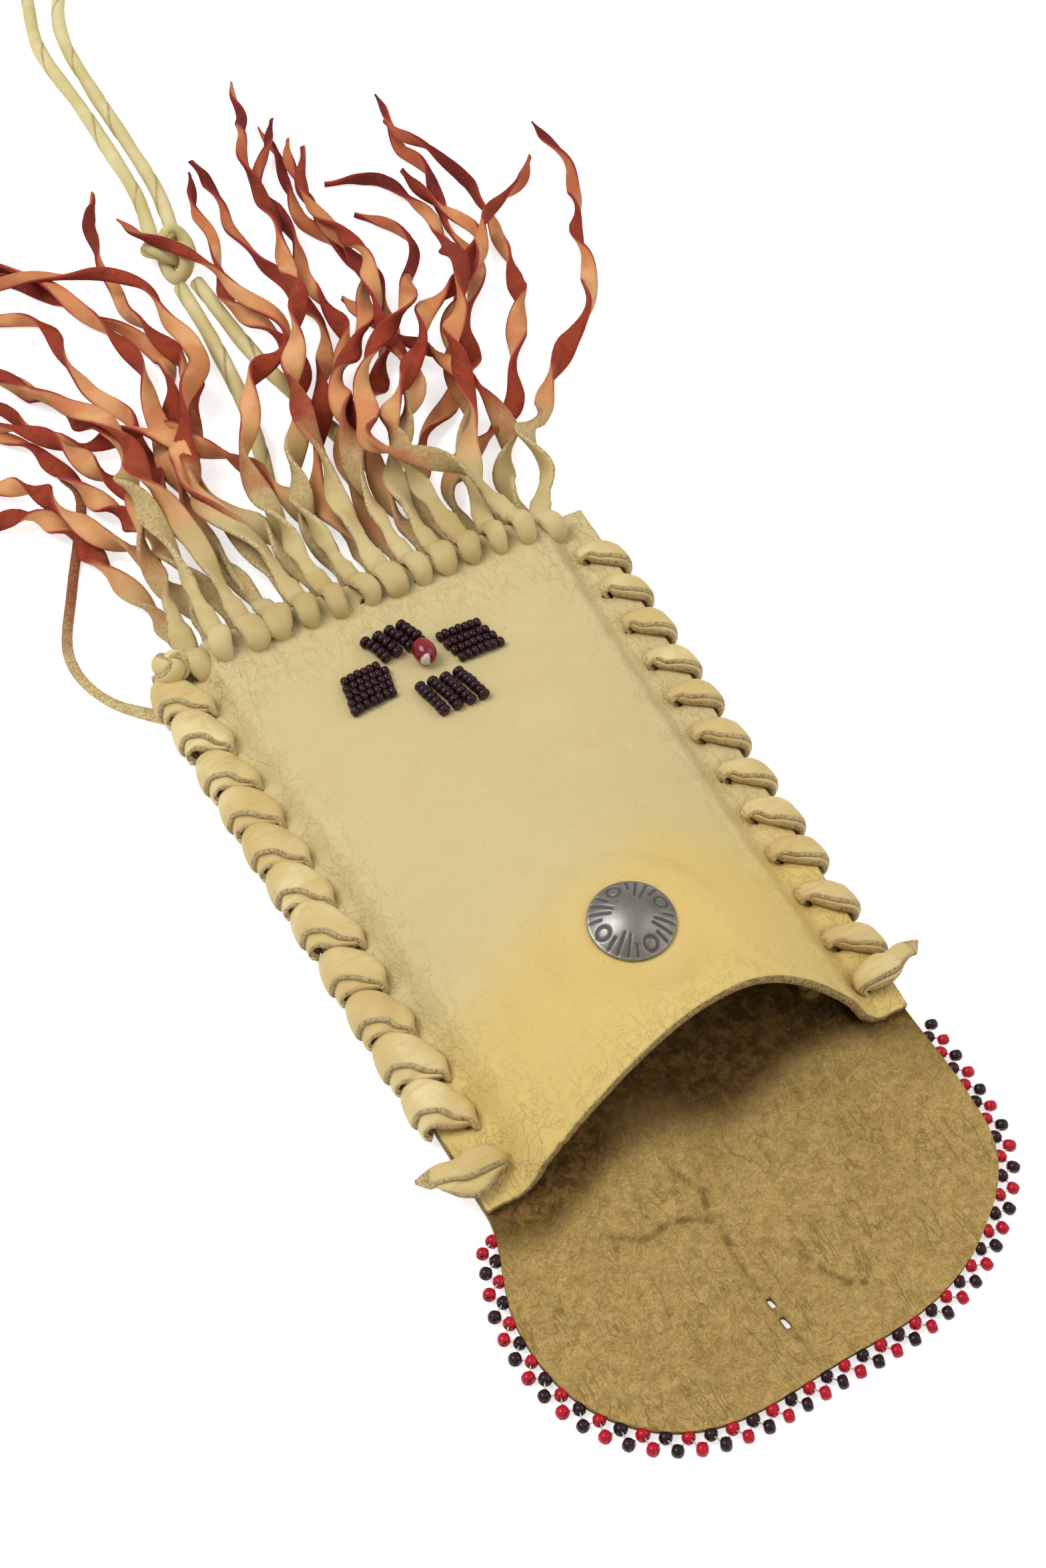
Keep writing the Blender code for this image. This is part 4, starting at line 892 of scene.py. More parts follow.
        # The front panel's underside lies inside the pouch: 0.7 of painted shade, which rough_hide shows
        # there
        front = hide_sheet("front_hide", x, y + ragged, top, ("smooth_hide", "rough_hide", "cut_hide"),
                           {"gold": gold, "crease": np.clip(crease, 0, 1), "inside_shade": np.full_like(x, 0.7)},
                           hole_keeper(lambda a, b: np.zeros(len(a), bool)))
        dress(front, "front_panel")


# Section of a wrap, half its width to each side: a full crown, a step with the cut edge, and a lower fold
LOBE = np.array([(0.5, 0.0), (0.49, 0.32), (0.45, 0.6), (0.36, 0.86), (0.24, 1.05), (0.1, 1.16),
                 (-0.02, 1.17), (-0.1, 1.1), (-0.15, 0.96), (-0.17, 0.74), (-0.165, 0.56), (-0.19, 0.5),
                 (-0.24, 0.62), (-0.32, 0.64), (-0.4, 0.5), (-0.46, 0.24), (-0.5, -0.1), (-0.44, -0.4),
                 (-0.2, -0.42), (0.1, -0.42), (0.35, -0.42), (0.48, -0.3)])
LOBE_STEP = LOBE[9, 0]
LOBE_CUT = np.array([0, 0, 0, 0, 0, 0, 0, 0.3, 1, 1, 0.9, 0.1, 0, 0, 0.1, 0.8, 1, 0.5, 0, 0, 0, 0])
LOBE_SHADE = np.array([0.3, 0.1, 0, 0, 0, 0, 0, 0, 0, 0, 0.7, 0.8, 0.1, 0, 0, 0, 0.4, 0.9, 1, 1, 1, 0.8])


class MakeLacing(bpy.types.Operator):
    """Whip lacing of both side seams, each one thong through all its holes to a pointed tail"""
    bl_idname = "bag.make_lacing"
    bl_label = "Side lacing"

    def execute(self, context):
        self.make_side("left_lacing", "left_side_lace", -1, LACE_TAIL)
        self.make_side("right_lacing", "right_side_lace", 1, [])
        return {"FINISHED"}

    def rings(self, side, start):
        """Rings of a lace: across, along, height, width and thickness, by which its way and size are set.

        It goes up through each hole, over the edge and back underneath, and ends over the mouth's corner.
        """
        s = sizes()
        rng = np.random.default_rng(31 + side)
        t, slant = s.lace_thickness / MM, LACE_SLANTS[side]
        wide, lift = s.lace_width / MM * LACE_SHARES[side], LACE_GAP + t / 2
        low_edge, top_edge = EDGE_UNDERSIDE, EDGE_UNDERSIDE + 2 * s.leather / MM + PANEL_GAP
        rings = [(x * side, y, t / 2 + 0.2, 2.6, 0.9) for x, y in start]
        rows = lace_rows()
        for k, y in enumerate(rows):
            edge = float(half_width(y))
            hole = edge - HOLE_INSET
            low, top = float(back_underside(hole * side, y)), float(front_top(hole * side, y))
            w = wide * rng.uniform(0.95, 1.06)
            lean = slant + rng.uniform(-0.8, 0.8)
            rings += [(hole + 2.2, y + 2.0, low - lift, 4.6, 1.0),
                      (hole + 0.2, y + 0.2, (low + top) / 2, 3.0, 1.0)]
            if k == len(rows) - 1:
                break
            reach = rng.uniform(-1.2, 0.2)
            rings += [(hole - 0.8 + reach, y - 0.26 * slant, top + 0.8, w * 0.28, 1.0),
                      (hole + reach, y - 0.16 * slant, top + 1.8, w * 0.58, 1.2),
                      (hole + 2.0, y + 0.25 * lean, top + 2.1, w * 0.9, 1.35),
                      (edge - 1.8, y + 0.7 * lean, top_edge + lift + 0.6, w, 1.3),
                      (edge + 0.4, y + lean, top_edge + lift - 0.1, w * 1.07, 1.15),
                      (edge + 0.4 + lift, y + 1.05 * lean, top_edge - 0.9, w * 1.13, 1.0),
                      (edge + 0.3 + lift, y + 1.05 * lean, low_edge, w, 0.9),
                      (edge - 1.4, y + 0.85 * lean, low_edge - lift, w * 0.5, 0.6),
                      (edge - 3.4, y + 0.35 * lean, low_edge - lift, 4.4, 0.7)]
        rings += [(hole + out, y + on, top + up, w, thick) for out, on, up, w, thick in LACE_END]
        return np.array(rings)

    def make_side(self, name, node, side, start):
        """The lobe section carried along the rings of one side, from its loose tail if it has one."""
        t = sizes().lace_thickness / MM
        fine = in_between(self.rings(side, start), LACE_STEPS)
        fine[:, 3:] = np.maximum(fine[:, 3:], 0.4)
        line = fine[:, :3] * (side, 1, 1)
        way, at, tail = headings(line), np.arange(len(line)), len(start) * LACE_STEPS
        facing = np.tile([0.0, 1.0, 0.0], (len(line), 1))
        if start:
            loose = smooth_step(tail + 4, tail - 8, at)[:, None]
            facing = facing * (1 - loose) + np.cross(way, [0, 0, float(-side)]) * loose
        across = square_to(facing, way)
        up = np.cross(way, across) * side
        lobed = smooth_step(3.8, 7.0, fine[:, 3])[:, None]
        hole_side = half_width(fine[:, 1]) - fine[:, 0]
        fold = 0.3 + 0.85 * smooth_step(6.5, 0.5, hole_side) if side < 0 else np.full(len(line), 0.2)
        lobe = np.repeat(LOBE[None], len(line), 0)
        folded = LOBE_STEP + (lobe[..., 0] - LOBE_STEP) * fold[:, None]
        lobe[..., 0] = np.where(lobe[..., 0] < LOBE_STEP, folded, lobe[..., 0])
        angle = circle(len(LOBE))
        band = np.stack([0.5 * np.cos(angle), 0.42 * np.sin(angle)], 1)
        shape = lobe * lobed[..., None] + band[None] * (1 - lobed[..., None])
        section = shape * np.stack([fine[:, 3], fine[:, 4] * t], 1)[:, None]
        cut = LOBE_CUT[None] * lobed + 0.45 * (1 - lobed)
        shade = LOBE_SHADE[None] * lobed * 0.5
        tip = smooth_step(len(line) - 16, len(line) - 4, at)[:, None]
        rust = smooth_step(tail - 9, tail - 17, at)[:, None] * bool(start)
        lace = sweep(name, line, across, up, section, ["lace_hide"],
                     {"cut": np.maximum(cut, tip), "shade": shade * (1 - tip),
                      "rust": np.broadcast_to(rust, cut.shape)})
        dress(lace, node)


class MakeStrap(bpy.types.Operator):
    """Rolled thong strap: two strands from the mouth corners, their knot and the bight beyond it"""
    bl_idname = "bag.make_strap"
    bl_label = "Strap"

    def execute(self, context):
        d = sizes().strap / MM
        knot = self.make_knot(d)
        hole_x, hole_y = STRAP_HOLE_PLACE
        for name, node, start, ground, tied in (
                ("left_strand", "strap_left_strand", [(-hole_x, hole_y + d / 2 + 0.3)], LEFT_STRAND, [knot]),
                ("right_strand", "strap_right_strand", [(hole_x, hole_y + d / 2 + 0.3)], RIGHT_STRAND, []),
                ("strap_bight", "strap_loop", FAR_LEFT, FAR_RIGHT, [])):
            way = route([*start, *ground], STRAP_SPACING)
            line = np.column_stack([way, np.full(len(way), d / 2 + STRAP_FLOOR)])
            strand = self.rolled(name, line, d)
            dress(strand, node)
            self.declare(strand, line, d, tied)
        for name, node in (("left_stop_knot", "strap_stop_knot_left"),
                           ("right_stop_knot", "strap_stop_knot_right")):
            middle, size = box_middle(node)
            centre = middle + (0, 0, size[2] / 2 - STOP_KNOT_SINK)
            # The stop knots take rough_hide, whose painted shade darkens them
            dress(tied_knot(name, centre, *STOP_KNOT, "rough_hide"), node)
        return {"FINISHED"}

    def declare(self, piece, line, d, with_pieces):
        """Does nothing with the strand, its way, its thickness or the pieces tied to it."""

    def rolled(self, name, line, d):
        """A round section with a lap step winding round the line, radius = d/2 * (1 - dent(angle - turn))."""
        run = run_along(line)
        angle = circle(STRAP_COLUMNS)[None]
        turn = (run * 2 * np.pi / LAP_LENGTH + 0.8 * np.sin(run / 23))[:, None]
        away = np.abs((angle - turn + np.pi) % (2 * np.pi) - np.pi)
        lap = np.exp(-(away / 0.3) ** 2)
        uneven = (1 + 0.05 * np.sin(run / 7.3 + 1.2) + 0.03 * np.sin(run / 3.1))[:, None]
        radius = d / 2 * (1 - 0.13 * lap) * uneven * 0.97
        section = np.stack([np.cos(angle) * radius, np.sin(angle) * radius], -1)
        way = headings(line)
        side = square_to(np.cross(way, [0, 0, 1.0]), way)
        return sweep(name, line, side, np.cross(way, side), section, ["rolled_hide"], {"cut": 0.8 * lap})

    def make_knot(self, d):
        """Three-lobed closed turn, as wide as the tied knot.

        x = sin t + 2 sin 2t, y = cos t - 2 cos 2t, z = -sin 3t.
        """
        t = np.linspace(0, 2 * np.pi, 220)
        wide, long, high = (KNOT_WIDTH - d) / 5.4, (KNOT_LENGTH - d) / 6, d * 0.62
        line = np.stack([KNOT_CENTRE[0] + wide * (np.sin(t) + 2 * np.sin(2 * t)),
                         KNOT_CENTRE[1] + long * (np.cos(t) - 2 * np.cos(2 * t)),
                         STRAP_FLOOR + d / 2 + high - high * np.sin(3 * t)], 1)
        knot = self.rolled("strap_tied_knot", line, d)
        dress(knot, "strap_knot")
        return knot


def tied_knot(name, centre, radius, height, band, look):
    """A small tied knot: a band wound twice round a ball on a (2, 3) torus line.

    Distance from its middle = radius * (0.62 + 0.38 cos 3t) at the angle 2t, z = 0.6 * height * sin 3t.
    """
    t = np.linspace(0, 2 * np.pi, 160)
    ring = radius * (0.62 + 0.38 * np.cos(3 * t))
    line = np.stack([ring * np.cos(2 * t), ring * np.sin(2 * t), height * 0.6 * np.sin(3 * t)], 1) + centre
    angle = circle(12)
    section = np.tile(np.stack([np.cos(angle) * band * 1.25, np.sin(angle) * band * 0.8], 1), (len(t), 1, 1))
    way = headings(line)
    out = square_to(line - centre + (0, 0, 1e-3), way)
    cut = np.tile(np.abs(np.cos(angle)) ** 4, (len(t), 1))
    # A constant 0.6 of painted shade, which rough_hide shows on the stop knots in the mouth; lace_hide does
    # not read it
    return sweep(name, line, np.cross(way, out), out, section, [look],
                 {"cut": cut, "inside_shade": np.full(cut.shape, 0.6)})


class MakeFringe(bpy.types.Operator):
    """Fourteen dyed thongs, each looped through its seam hole with two twisted tails, and the corner knot"""
    bl_idname = "bag.make_fringe"
    bl_label = "Fringe"

    def execute(self, context):
        rng = np.random.default_rng(7)
        for number, (x, (under, over)) in enumerate(zip(HOLES, TAILS), 1):
            node = f"fringe_thong_{number:02d}"
            tree = self.solid(node)
            below = self.tail(tree, x, under, 3.5, rng)
            above = self.tail(tree, x, over, 12.0, rng)
            self.make_thong(number, node, x, below, above, rng)
        self.make_corner_knot()
        return {"FINISHED"}

    def solid(self, node):
        """The node's facets, in the pouch's own millimetres."""
        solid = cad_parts[node]
        points = [Vector((np.array(solid.matrix_world @ v.co) - ORIGIN) / MM) for v in solid.data.vertices]
        return BVHTree.FromPolygons(points, [list(f.vertices) for f in solid.data.polygons])

    def tail(self, tree, x, ground, start_height, rng):
        """Middle of a tail's solid at its route's points, always the one nearest to the height before it."""
        root = (x, POUCH_LENGTH + ROOT_START)
        way = route([root, (x, root[1] + ROOT_STRAIGHT), *ground], TAIL_RING_SPACING)
        heights, last = [], start_height
        for px, py in way[:-1]:
            hits, z = [], 90.0
            while len(hits) < 12:
                hit = tree.ray_cast(Vector((px, py, z)), Vector((0, 0, -1)))[0]
                if hit is None:
                    break
                hits.append(hit.z)
                z = hit.z - 0.02
            middles = [(a + b) / 2 for a, b in zip(hits[::2], hits[1::2])]
            if middles:
                last = min(middles, key=lambda m: abs(m - last))
            heights.append(last)
        heights.append(max(1.0, heights[-1] - 0.2))
        heights[0] = min(heights[0], 0.7 * heights[1] + 1.5)
        return self.curl(route(np.column_stack([way, heights]), 1.5), rng)

    def curl(self, line, rng):
        """The way with its slow curls, its number of half turns and their phase.

        Sideways and height + size * sin(run / wave + phase), growing off the root.
        """
        run = run_along(line)
        way = headings(line)
        side = square_to(np.cross(way, [0, 0, 1.0]), way)
        grown = smooth_step(4, 40, run) * smooth_step(0, 30, run[-1] - run + 12)
        for size, wave in ((rng.uniform(0.8, 1.8), rng.uniform(6.0, 9.5)), (0.5, rng.uniform(2.8, 3.6))):
            line = line + side * (size * grown * np.sin(run / wave + rng.uniform(0, 6)))[:, None]
        line[:, 2] += 0.9 * grown * np.sin(run / 7 + rng.uniform(0, 6))
        return line, rng.integers(5, 9) * rng.choice([-1, 1]), rng.uniform(0.35, 1.2) * rng.choice([-1, 1])

    def make_thong(self, number, node, x, below, above, rng):
        """The strip's section carried from one tip, through the loop over the seam, to the other tip."""
        s = sizes()
        wide, thick = s.thong_width / MM, s.thong_thickness / MM
        hole_y, edge_y = POUCH_LENGTH - THONG_INSET, POUCH_LENGTH
        low = float(back_underside(x, hole_y)) - THONG_CLEARANCE
        top = float(front_top(x, hole_y)) + THONG_CLEARANCE
        tilt, plump, forward = rng.uniform(-1.5, 1.5), rng.uniform(0.0, 1.5), rng.uniform(-0.7, 0.7)
        loop = [(x, edge_y + 0.5, low), (x, hole_y + 1.8, low), (x, hole_y - 0.2, (low + top) / 2),
                (x + tilt, hole_y - 1.0 + forward, top + 0.5), (x + tilt, hole_y + 0.9 + forward, top + 2.3),
                (x, edge_y - 2.8, top + 2.4), (x, edge_y - 0.3, top + 0.4), (x, edge_y + 1.4, top - 2.8)]
        (line_a, twist_a, phase_a), (line_b, twist_b, phase_b) = below, above
        n = len(line_a)
        mid = route(loop, 0.9)
        m = n - 2 + len(mid)
        line = np.pad(np.vstack([line_a[::-1][:-2], mid, line_b[3:]]), ((2, 2), (0, 0)), mode="edge")
        line = np.stack([np.convolve(column, np.ones(5) / 5, "valid") for column in line.T], 1)
        at = np.arange(len(line))
        run = run_along(line)
        first = at < n
        away = np.where(first, run[n - 2] - run, np.maximum(run - run[m], 0))
        share = np.clip(away / np.where(first, run[n - 2], run[-1] - run[m]), 0, 1)
        off_root = smooth_step(1.0, 12.0, away)
        phase = np.where(first, phase_a, phase_b)
        turn = np.where(first, -twist_a, twist_b) * np.pi * np.clip(share * 1.06 - 0.06, 0, 1)
        turn = turn + phase * off_root
        turn = turn + 0.55 * np.sin(share * 13 + phase * 6) * smooth_step(0.03, 0.2, share)
        w = wide * (1 + 0.1 * np.sin(run / 11 + number)) * (1 - 0.42 * smooth_step(0.3, 0.95, share))
        w = w * (1 - 0.8 * smooth_step(0.94, 1.0, share))
        w = w * (1 - 0.46 * np.exp(-((away - 5.0) / 4.5) ** 2))
        on_loop = smooth_step(n - 6, n + 4, at) * smooth_step(m + 3, m - 5, at)
        through = np.exp(-((line[:, 1] - hole_y) / 1.6) ** 2)
        through = through * np.exp(-((line[:, 2] - (low + top) / 2) / 3.0) ** 2)
        w = w + on_loop * (plump * (line[:, 2] > top) - through * 2.8)
        line[:, 2] -= 1.1 * np.exp(-((away - 3.5) / 2.5) ** 2) * (at > m)
        half_height = 0.5 * (np.abs(np.sin(turn)) * w + thick * np.abs(np.cos(turn)))
        line[:, 2] = np.maximum(line[:, 2], half_height + 0.15)
        way = headings(line)
        level = np.cross([0, 0, 1.0], way)
        level[n - 2:] *= -1
        near = np.exp(-(away / 5.0) ** 2)[:, None]
        side = square_to(level * (1 - near) + np.array([1.0, 0, 0]) * near, way)
        up = np.cross(way, side)
        c, sn = np.cos(turn)[:, None], np.sin(turn)[:, None]
        angle = circle(THONG_COLUMNS)
        a, b = np.cos(angle), np.sin(angle)
        flat = np.stack([np.sign(a) * np.abs(a) ** 0.55 * 0.5, np.sign(b) * np.abs(b) ** 0.6 * 0.5], 1)
        section = flat[None] * np.stack([w, thick * (1 + 0.35 * on_loop)], 1)[:, None]
        cup = (0.35 * np.sin(run / 17 + number) * (1 - on_loop) - 0.8 * on_loop)[:, None]
        section[..., 1] += cup * (1 - (2 * flat[None, :, 0]) ** 2)
        everywhere = np.ones((len(w), len(a)))
        smooth_side = smooth_step(0.1, -0.3, b)[None] * everywhere
        rim = np.abs(a)[None] ** 7 * everywhere
        dye = np.clip((away - np.where(first, rng.uniform(2, 34), rng.uniform(2, 40))) / 170.0, -0.3, 1)
        thong = sweep(f"fringe_strip_{number:02d}", line, side * c + up * sn, up * c - side * sn, section,
                      ["dyed_hide"],
                      {"smooth_side": smooth_side, "rim": rim, "run": dye[:, None] * everywhere})
        dress(thong, node)

    def make_corner_knot(self):
        middle = box_middle("corner_knot")[0] + CORNER_KNOT_SHIFT
        dress(tied_knot("seam_corner_knot", middle, *CORNER_KNOT, "lace_hide"), "corner_knot")


# Profile of a bead of radius 1 and length 1, from one end of its bore to the other: radius and height
BARREL = np.array([(0.3, -0.36), (0.62, -0.5), (0.9, -0.34), (1.0, 0.0), (0.9, 0.34), (0.62, 0.5),
                   (0.3, 0.36)])
BORE_RADIUS = 0.4


def bead_shape():
    """A bead round the Z axis: the barrel's profile turned in even steps and closed through its bore."""
    rows, columns = len(BARREL), BEAD_COLUMNS
    angle = circle(columns)
    ring = np.stack([np.cos(angle), np.sin(angle)], 1)
    heights = np.broadcast_to(BARREL[:, None, 1:], (rows, columns, 1))
    points = np.concatenate([BARREL[:, None, :1] * ring[None], heights], 2)
    c = np.arange(columns)
    last, on = (rows - 1) * columns, (c + 1) % columns
    faces = np.vstack([grid_faces(rows, columns, True), np.stack([last + c, last + on, on, c], 1)])
    bore = np.repeat((BARREL[:, 0] < BORE_RADIUS).astype(float), columns)
    return points.reshape(-1, 3), faces, bore


def make_beads(name, centres, ways, radius, length, looks, face_look, seed):
    """Copies of the bead, point = centre + side * x * r + other * y * r + way * z * length, in one mesh."""
    rng = np.random.default_rng(seed)
    shape, faces, bore = bead_shape()
    centres, ways = np.array(centres), np.array(ways)
    ways = ways / np.linalg.norm(ways, axis=1)[:, None]
    side = square_to(np.tile([0.03, 0.05, 1.0], (len(ways), 1)), ways)
    other = np.cross(ways, side)
    radii, lengths = (v * rng.uniform(0.94, 1.05, (len(centres), 1)) for v in (radius, length))
    points = (centres[:, None] + side[:, None] * (shape[:, 0] * radii)[..., None]
              + other[:, None] * (shape[:, 1] * radii)[..., None]
              + ways[:, None] * (shape[:, 2] * lengths)[..., None])
    corners = (faces[None] + (np.arange(len(centres)) * len(shape))[:, None, None]).reshape(-1, 4)
    flat = points.reshape(-1, 3)
    one = flat[corners[:len(faces)]] - centres[0]
    if (np.cross(one[:, 1] - one[:, 0], one[:, 3] - one[:, 0]) * (one.mean(1))).sum() < 0:
        corners = corners[:, ::-1]
    pick = np.repeat(rng.uniform(0, 1, len(centres)), len(shape))
    return put_mesh(name, flat, corners.tolist(), looks, {"pick": pick, "bore": np.tile(bore, len(centres))},
                    np.repeat(face_look, len(faces)))


def make_thread(name, points, radius):
    """A round thread carried through the points."""
    line = np.array(points)
    way = headings(line)
    side = square_to(np.cross(way, [0.1, 0.2, 1.0]), way)
    angle = circle(6)
    section = np.tile(np.stack([np.cos(angle), np.sin(angle)], 1) * radius, (len(line), 1, 1))
    return sweep(name, line, side, np.cross(way, side), section, ["thread"])


class MakeRosette(bpy.types.Operator):
    """Four blocks of lane-stitched seed beads round one worn centre bead"""
    bl_idname = "bag.make_rosette"
    bl_label = "Rosette"

    def execute(self, context):
        s = sizes()
        pitch = s.seed_bead_length / MM
        for seed, (node, first, lane_way, bead_way, counts, thicker) in enumerate(ROSETTE_BLOCKS):
            r = s.seed_bead / MM / 2 * thicker
            centres, ways = self.lanes(first, lane_way, bead_way, counts, r, pitch, seed)
            beads = make_beads(f"{node}_beads", centres, ways, r, pitch * 0.98, ["dark_glass"],
                               np.zeros(len(centres)), seed)
            thread = make_thread(f"{node}_thread", np.array(centres) - (0, 0, r * 0.5), 0.15)
            for piece in (beads, thread):
                dress(piece, node)
        self.make_centre()
        return {"FINISHED"}

    def lanes(self, first, lane_way, bead_way, counts, r, pitch, seed):
        """Bead centres and headings, there and back: first + lane * lane_way + bead * pitch * bead_way."""
        rng = np.random.default_rng(60 + seed)
        heading = np.array(bead_way) / np.linalg.norm(bead_way)
        centres, ways = [], []
        for lane, beads in enumerate(counts):
            order = range(beads) if lane % 2 == 0 else range(beads - 1, -1, -1)
            start = np.array(first) + ROSETTE_CENTRE + lane * np.array(lane_way)
            bow = rng.uniform(-0.25, 0.25)
            for b in order:
                arc = math.sin(math.pi * (b + 0.5) / beads)
                px, py = start + b * pitch * heading + bow * arc * np.array([heading[1], -heading[0]])
                px, py = px + rng.uniform(-0.12, 0.12), py + rng.uniform(-0.1, 0.1)
                centres.append((px, py, float(front_top(px, py)) + r * 0.78 + 0.4 * arc))
                ways.append((*heading, rng.uniform(-0.1, 0.1)))
        return centres, ways

    def make_centre(self):
        """An egg-shaped bead with a chipped end: radius 1.02 r * sin(angle) ^ 0.75 at -cos(angle) along."""
        middle, size = box_middle("centre_bead")
        middle = middle + (*CENTRE_BEAD_SHIFT, 0)
        t, ring = np.linspace(0.16, math.pi - 0.16, 26), circle(36)
        radius = (size[0] / 2 * np.sin(t) ** 0.75 * 1.02)[:, None]
        line = middle + np.stack([0 * t, -size[1] / 2 * np.cos(t), 0 * t], 1)
        section = np.stack([np.cos(ring) * radius, np.sin(ring) * radius], -1)
        side, up = (np.tile(way, (len(t), 1)) for way in ([1.0, 0, 0], [0, 0, 1.0]))
        chip = smooth_step(-0.45, -0.95, -np.cos(t))[:, None] * smooth_step(0.6, -0.5, np.cos(ring))[None]
        bead = sweep("centre_bead_glass", line, side, up, section, ["centre_glass"], {"chip": chip})
        dress(bead, "centre_bead")


class MakeEdging(bpy.types.Operator):
    """Beads along the flap's edge in pairs, an inner and an outer one, red and dark in turn"""
    bl_idname = "bag.make_edging"
    bl_label = "Bead edging"

    def execute(self, context):
        r = sizes().edge_bead / MM / 2
        y = -FLAP_LENGTH * (1 - (1 - np.linspace(0.02, 0.9935, 300)) ** 1.6)
        x = half_width(y)
        line = np.vstack([np.stack([-x, y], 1), np.stack([x, y], 1)[::-1]])
        line = np.stack(flap_outline(line[:, 0], line[:, 1]), 1)
        run = run_along(line)
        at = np.linspace(4, run[-1] - 4, EDGE_BEAD_PAIRS)
        pitch = at[1] - at[0]
        centres, ways, looks = [], [], []
        for k, s in enumerate(at):
            for outer, (reach, shift) in enumerate(EDGE_BEAD_PLACES):
                p, q = (np.array([np.interp(s + shift * pitch + ahead, run, line[:, j]) for j in (0, 1)])
                        for ahead in (0.0, 0.5))
                d = (q - p) / np.linalg.norm(q - p)
                out = np.array([d[1], -d[0]])
                out = -out if out @ p < 0 else out
                p = p + out * reach
                flap_lift = (EDGE_UNDERSIDE - 1.0) * (1 - smooth_step(0, FLAP_DROP_LENGTH, -p[1]))
                centres.append((*p, float(r + 0.15 + flap_lift + 0.15 * (1 - outer))))
                lean = out * 0.75 + d * 0.65 if outer == 0 else d * 0.9 + out * 0.3
                ways.append((*lean, 0.25))
                looks.append(k % 2)
        beads = make_beads("edging_beads", centres, ways, r, r * 1.5, ["red_glass", "dark_glass"],
                           np.array(looks), 17)
        for piece in (beads, make_thread("edging_thread", centres, 0.25)):
            dress(piece, "bead_edging")
        return {"FINISHED"}


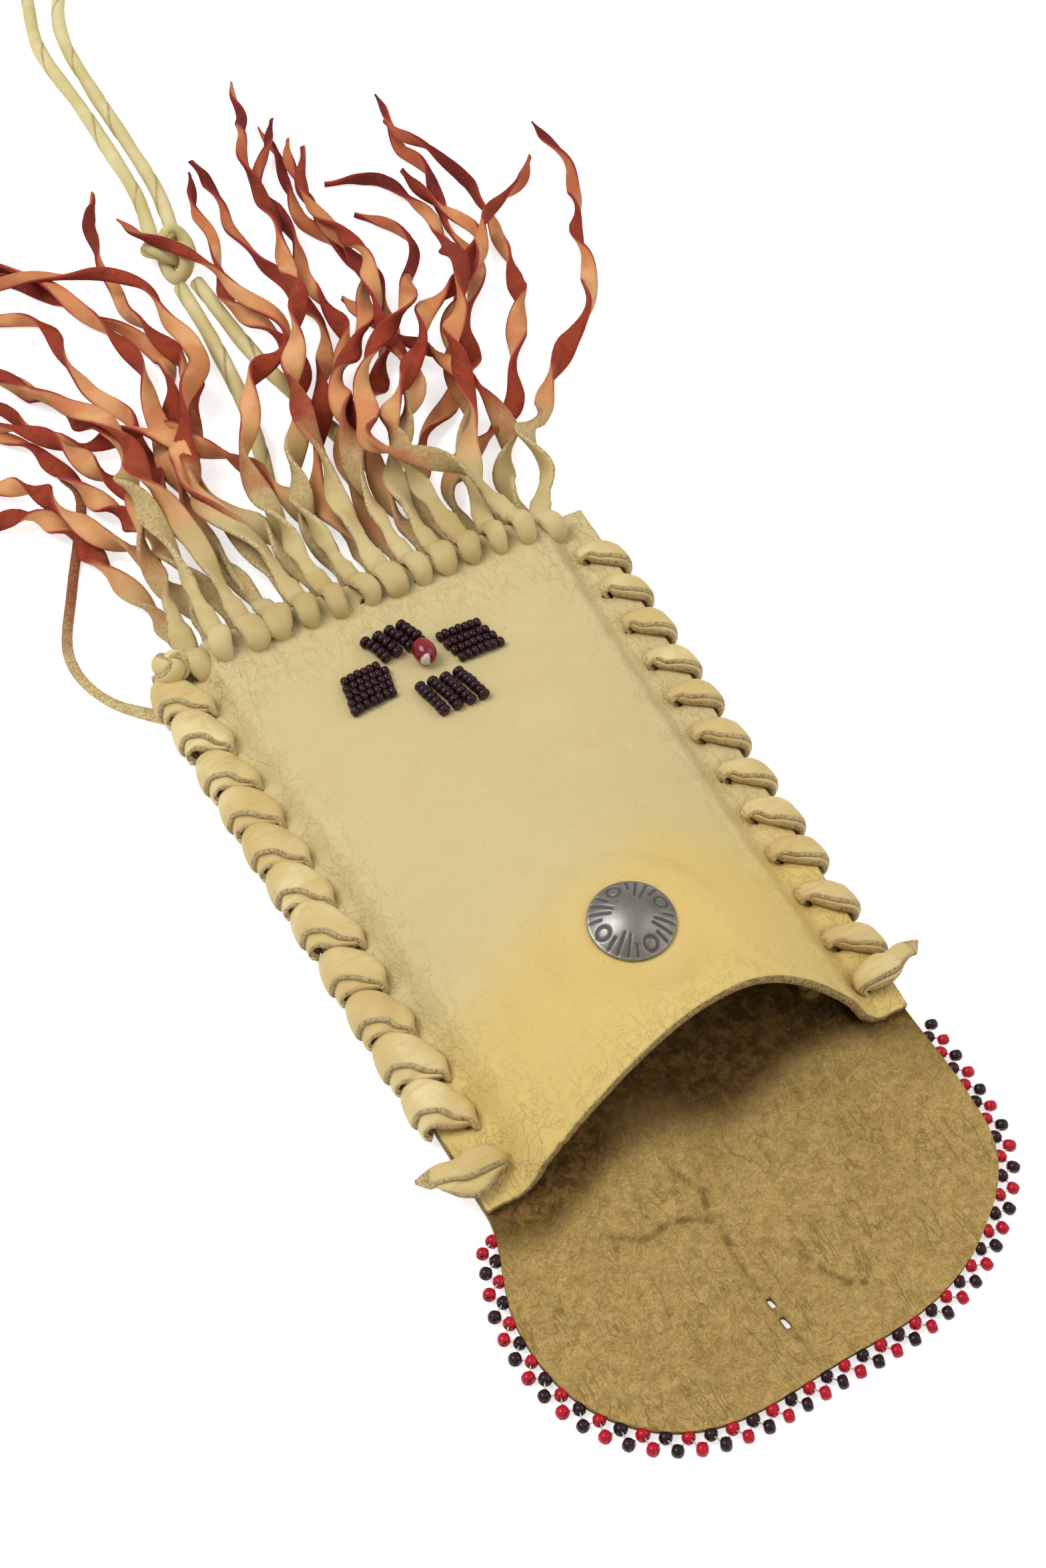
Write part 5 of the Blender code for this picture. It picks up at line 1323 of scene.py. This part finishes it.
class MakeConcho(bpy.types.Operator):
    """Domed metal concho with four engraved rings and four groups of rays"""
    bl_idname = "bag.make_concho"
    bl_label = "Concho"

    def execute(self, context):
        """A dome, height = dome * (1 - share of the radius ^ 2.1), with a hollow back and a raised rim."""
        r, dome = sizes().concho / MM / 2, CONCHO_DOME
        radius = r * np.concatenate([np.linspace(0, 1, CONCHO_ROWS) ** 0.8, [1.0, 0.985, 0.9, 0.6, 0.3, 0.0]])
        rr, aa = np.meshgrid(radius, circle(CONCHO_COLUMNS), indexing="ij")
        share = rr / r
        height = dome * (1 - share ** 2.1)
        back = np.arange(len(radius)) >= CONCHO_ROWS
        height[back] = np.array([-0.35, -0.6, -0.45, 0.1 * dome, 0.5 * dome, 0.6 * dome])[:, None]
        px, py = rr * np.cos(aa), rr * np.sin(aa)
        front = (~back)[:, None]
        cut = self.engraving(px, py) * front
        height = height - CONCHO_CUT * cut + (0.1 * np.exp(-((share - 0.985) / 0.02) ** 2)) * front
        foot, x_way, y_way, axis = self.seat()
        points = foot + px[..., None] * x_way + py[..., None] * y_way + height[..., None] * axis
        faces = grid_faces(len(radius), CONCHO_COLUMNS, True)
        flat = points.reshape(-1, 3)
        some = flat[faces[CONCHO_COLUMNS:2 * CONCHO_COLUMNS]]
        if (np.cross(some[:, 1] - some[:, 0], some[:, 3] - some[:, 0]) @ axis).sum() < 0:
            faces = faces[:, ::-1]
        concho = put_mesh("concho_button", flat, faces.tolist(), ["aged_silver"], {"engraved": cut})
        merge_doubles(concho)
        dress(concho, "concho")
        return {"FINISHED"}

    def seat(self):
        """The concho's foot on the front panel, the two ways across it and its axis."""
        axis = np.array(CONCHO_AXIS)
        axis = axis / np.linalg.norm(axis)
        x, y = CONCHO_PLACE
        x_way = np.cross([0, 1.0, 0], axis)
        x_way = x_way / np.linalg.norm(x_way)
        return np.array([x, y, float(front_top(x, y)) + 0.5]), x_way, np.cross(axis, x_way), axis

    def engraving(self, px, py):
        """How deep each place is cut: four small rings between four groups of four rays."""
        cut = np.zeros_like(px)
        for quarter in range(4):
            a = math.radians(4 + 90 * quarter)
            cx, cy = 6.7 * math.cos(a), 6.7 * math.sin(a)
            cut = np.maximum(cut, np.exp(-((np.hypot(px - cx, py - cy) - 1.3) / 0.31) ** 2))
            for offset, start in CONCHO_RAYS:
                b = a + math.radians(45 + offset)
                way = np.array([math.cos(b), math.sin(b)])
                along, across = px * way[0] + py * way[1], -px * way[1] + py * way[0]
                ends = smooth_step(start - 0.2, start + 0.2, along) * smooth_step(8.7, 8.2, along)
                cut = np.maximum(cut, np.exp(-(across / 0.3) ** 2) * ends)
        return cut


def merge_doubles(obj):
    """Joins the points that meet at a pole or a seam."""
    bm = bmesh.new()
    bm.from_mesh(obj.data)
    bmesh.ops.remove_doubles(bm, verts=bm.verts, dist=1e-6)
    bm.to_mesh(obj.data)
    bm.free()


class FringeBagPanel(bpy.types.Panel):
    """Lists the steps that build the bag"""
    bl_idname = "VIEW3D_PT_fringe_bag"
    bl_label = "Fringe Bag"
    bl_space_type = "VIEW_3D"
    bl_region_type = "UI"
    bl_category = "Fringe Bag"

    def draw(self, context):
        for operator in OPERATORS:
            self.layout.operator(operator.bl_idname)
        for group in (context.scene.bag_sizes, context.scene.bag_colours):
            for key in group.bl_rna.properties.keys()[2:]:
                self.layout.prop(group, key)


OPERATORS = (MakeStage, MakeStrap, MakeHides, MakeLacing, MakeFringe, MakeRosette, MakeEdging, MakeConcho)


def register():
    for cls in (BagSizes, BagColours, *OPERATORS, FringeBagPanel):
        bpy.utils.register_class(cls)
    bpy.types.Scene.bag_sizes = bpy.props.PointerProperty(type=BagSizes)
    bpy.types.Scene.bag_colours = bpy.props.PointerProperty(type=BagColours)


def unregister():
    del bpy.types.Scene.bag_colours
    del bpy.types.Scene.bag_sizes
    for cls in reversed((BagSizes, BagColours, *OPERATORS, FringeBagPanel)):
        bpy.utils.unregister_class(cls)


def main():
    register()
    for operator in OPERATORS:
        category, name = operator.bl_idname.split(".")
        getattr(getattr(bpy.ops, category), name)()


if __name__ == "__main__":
    main()
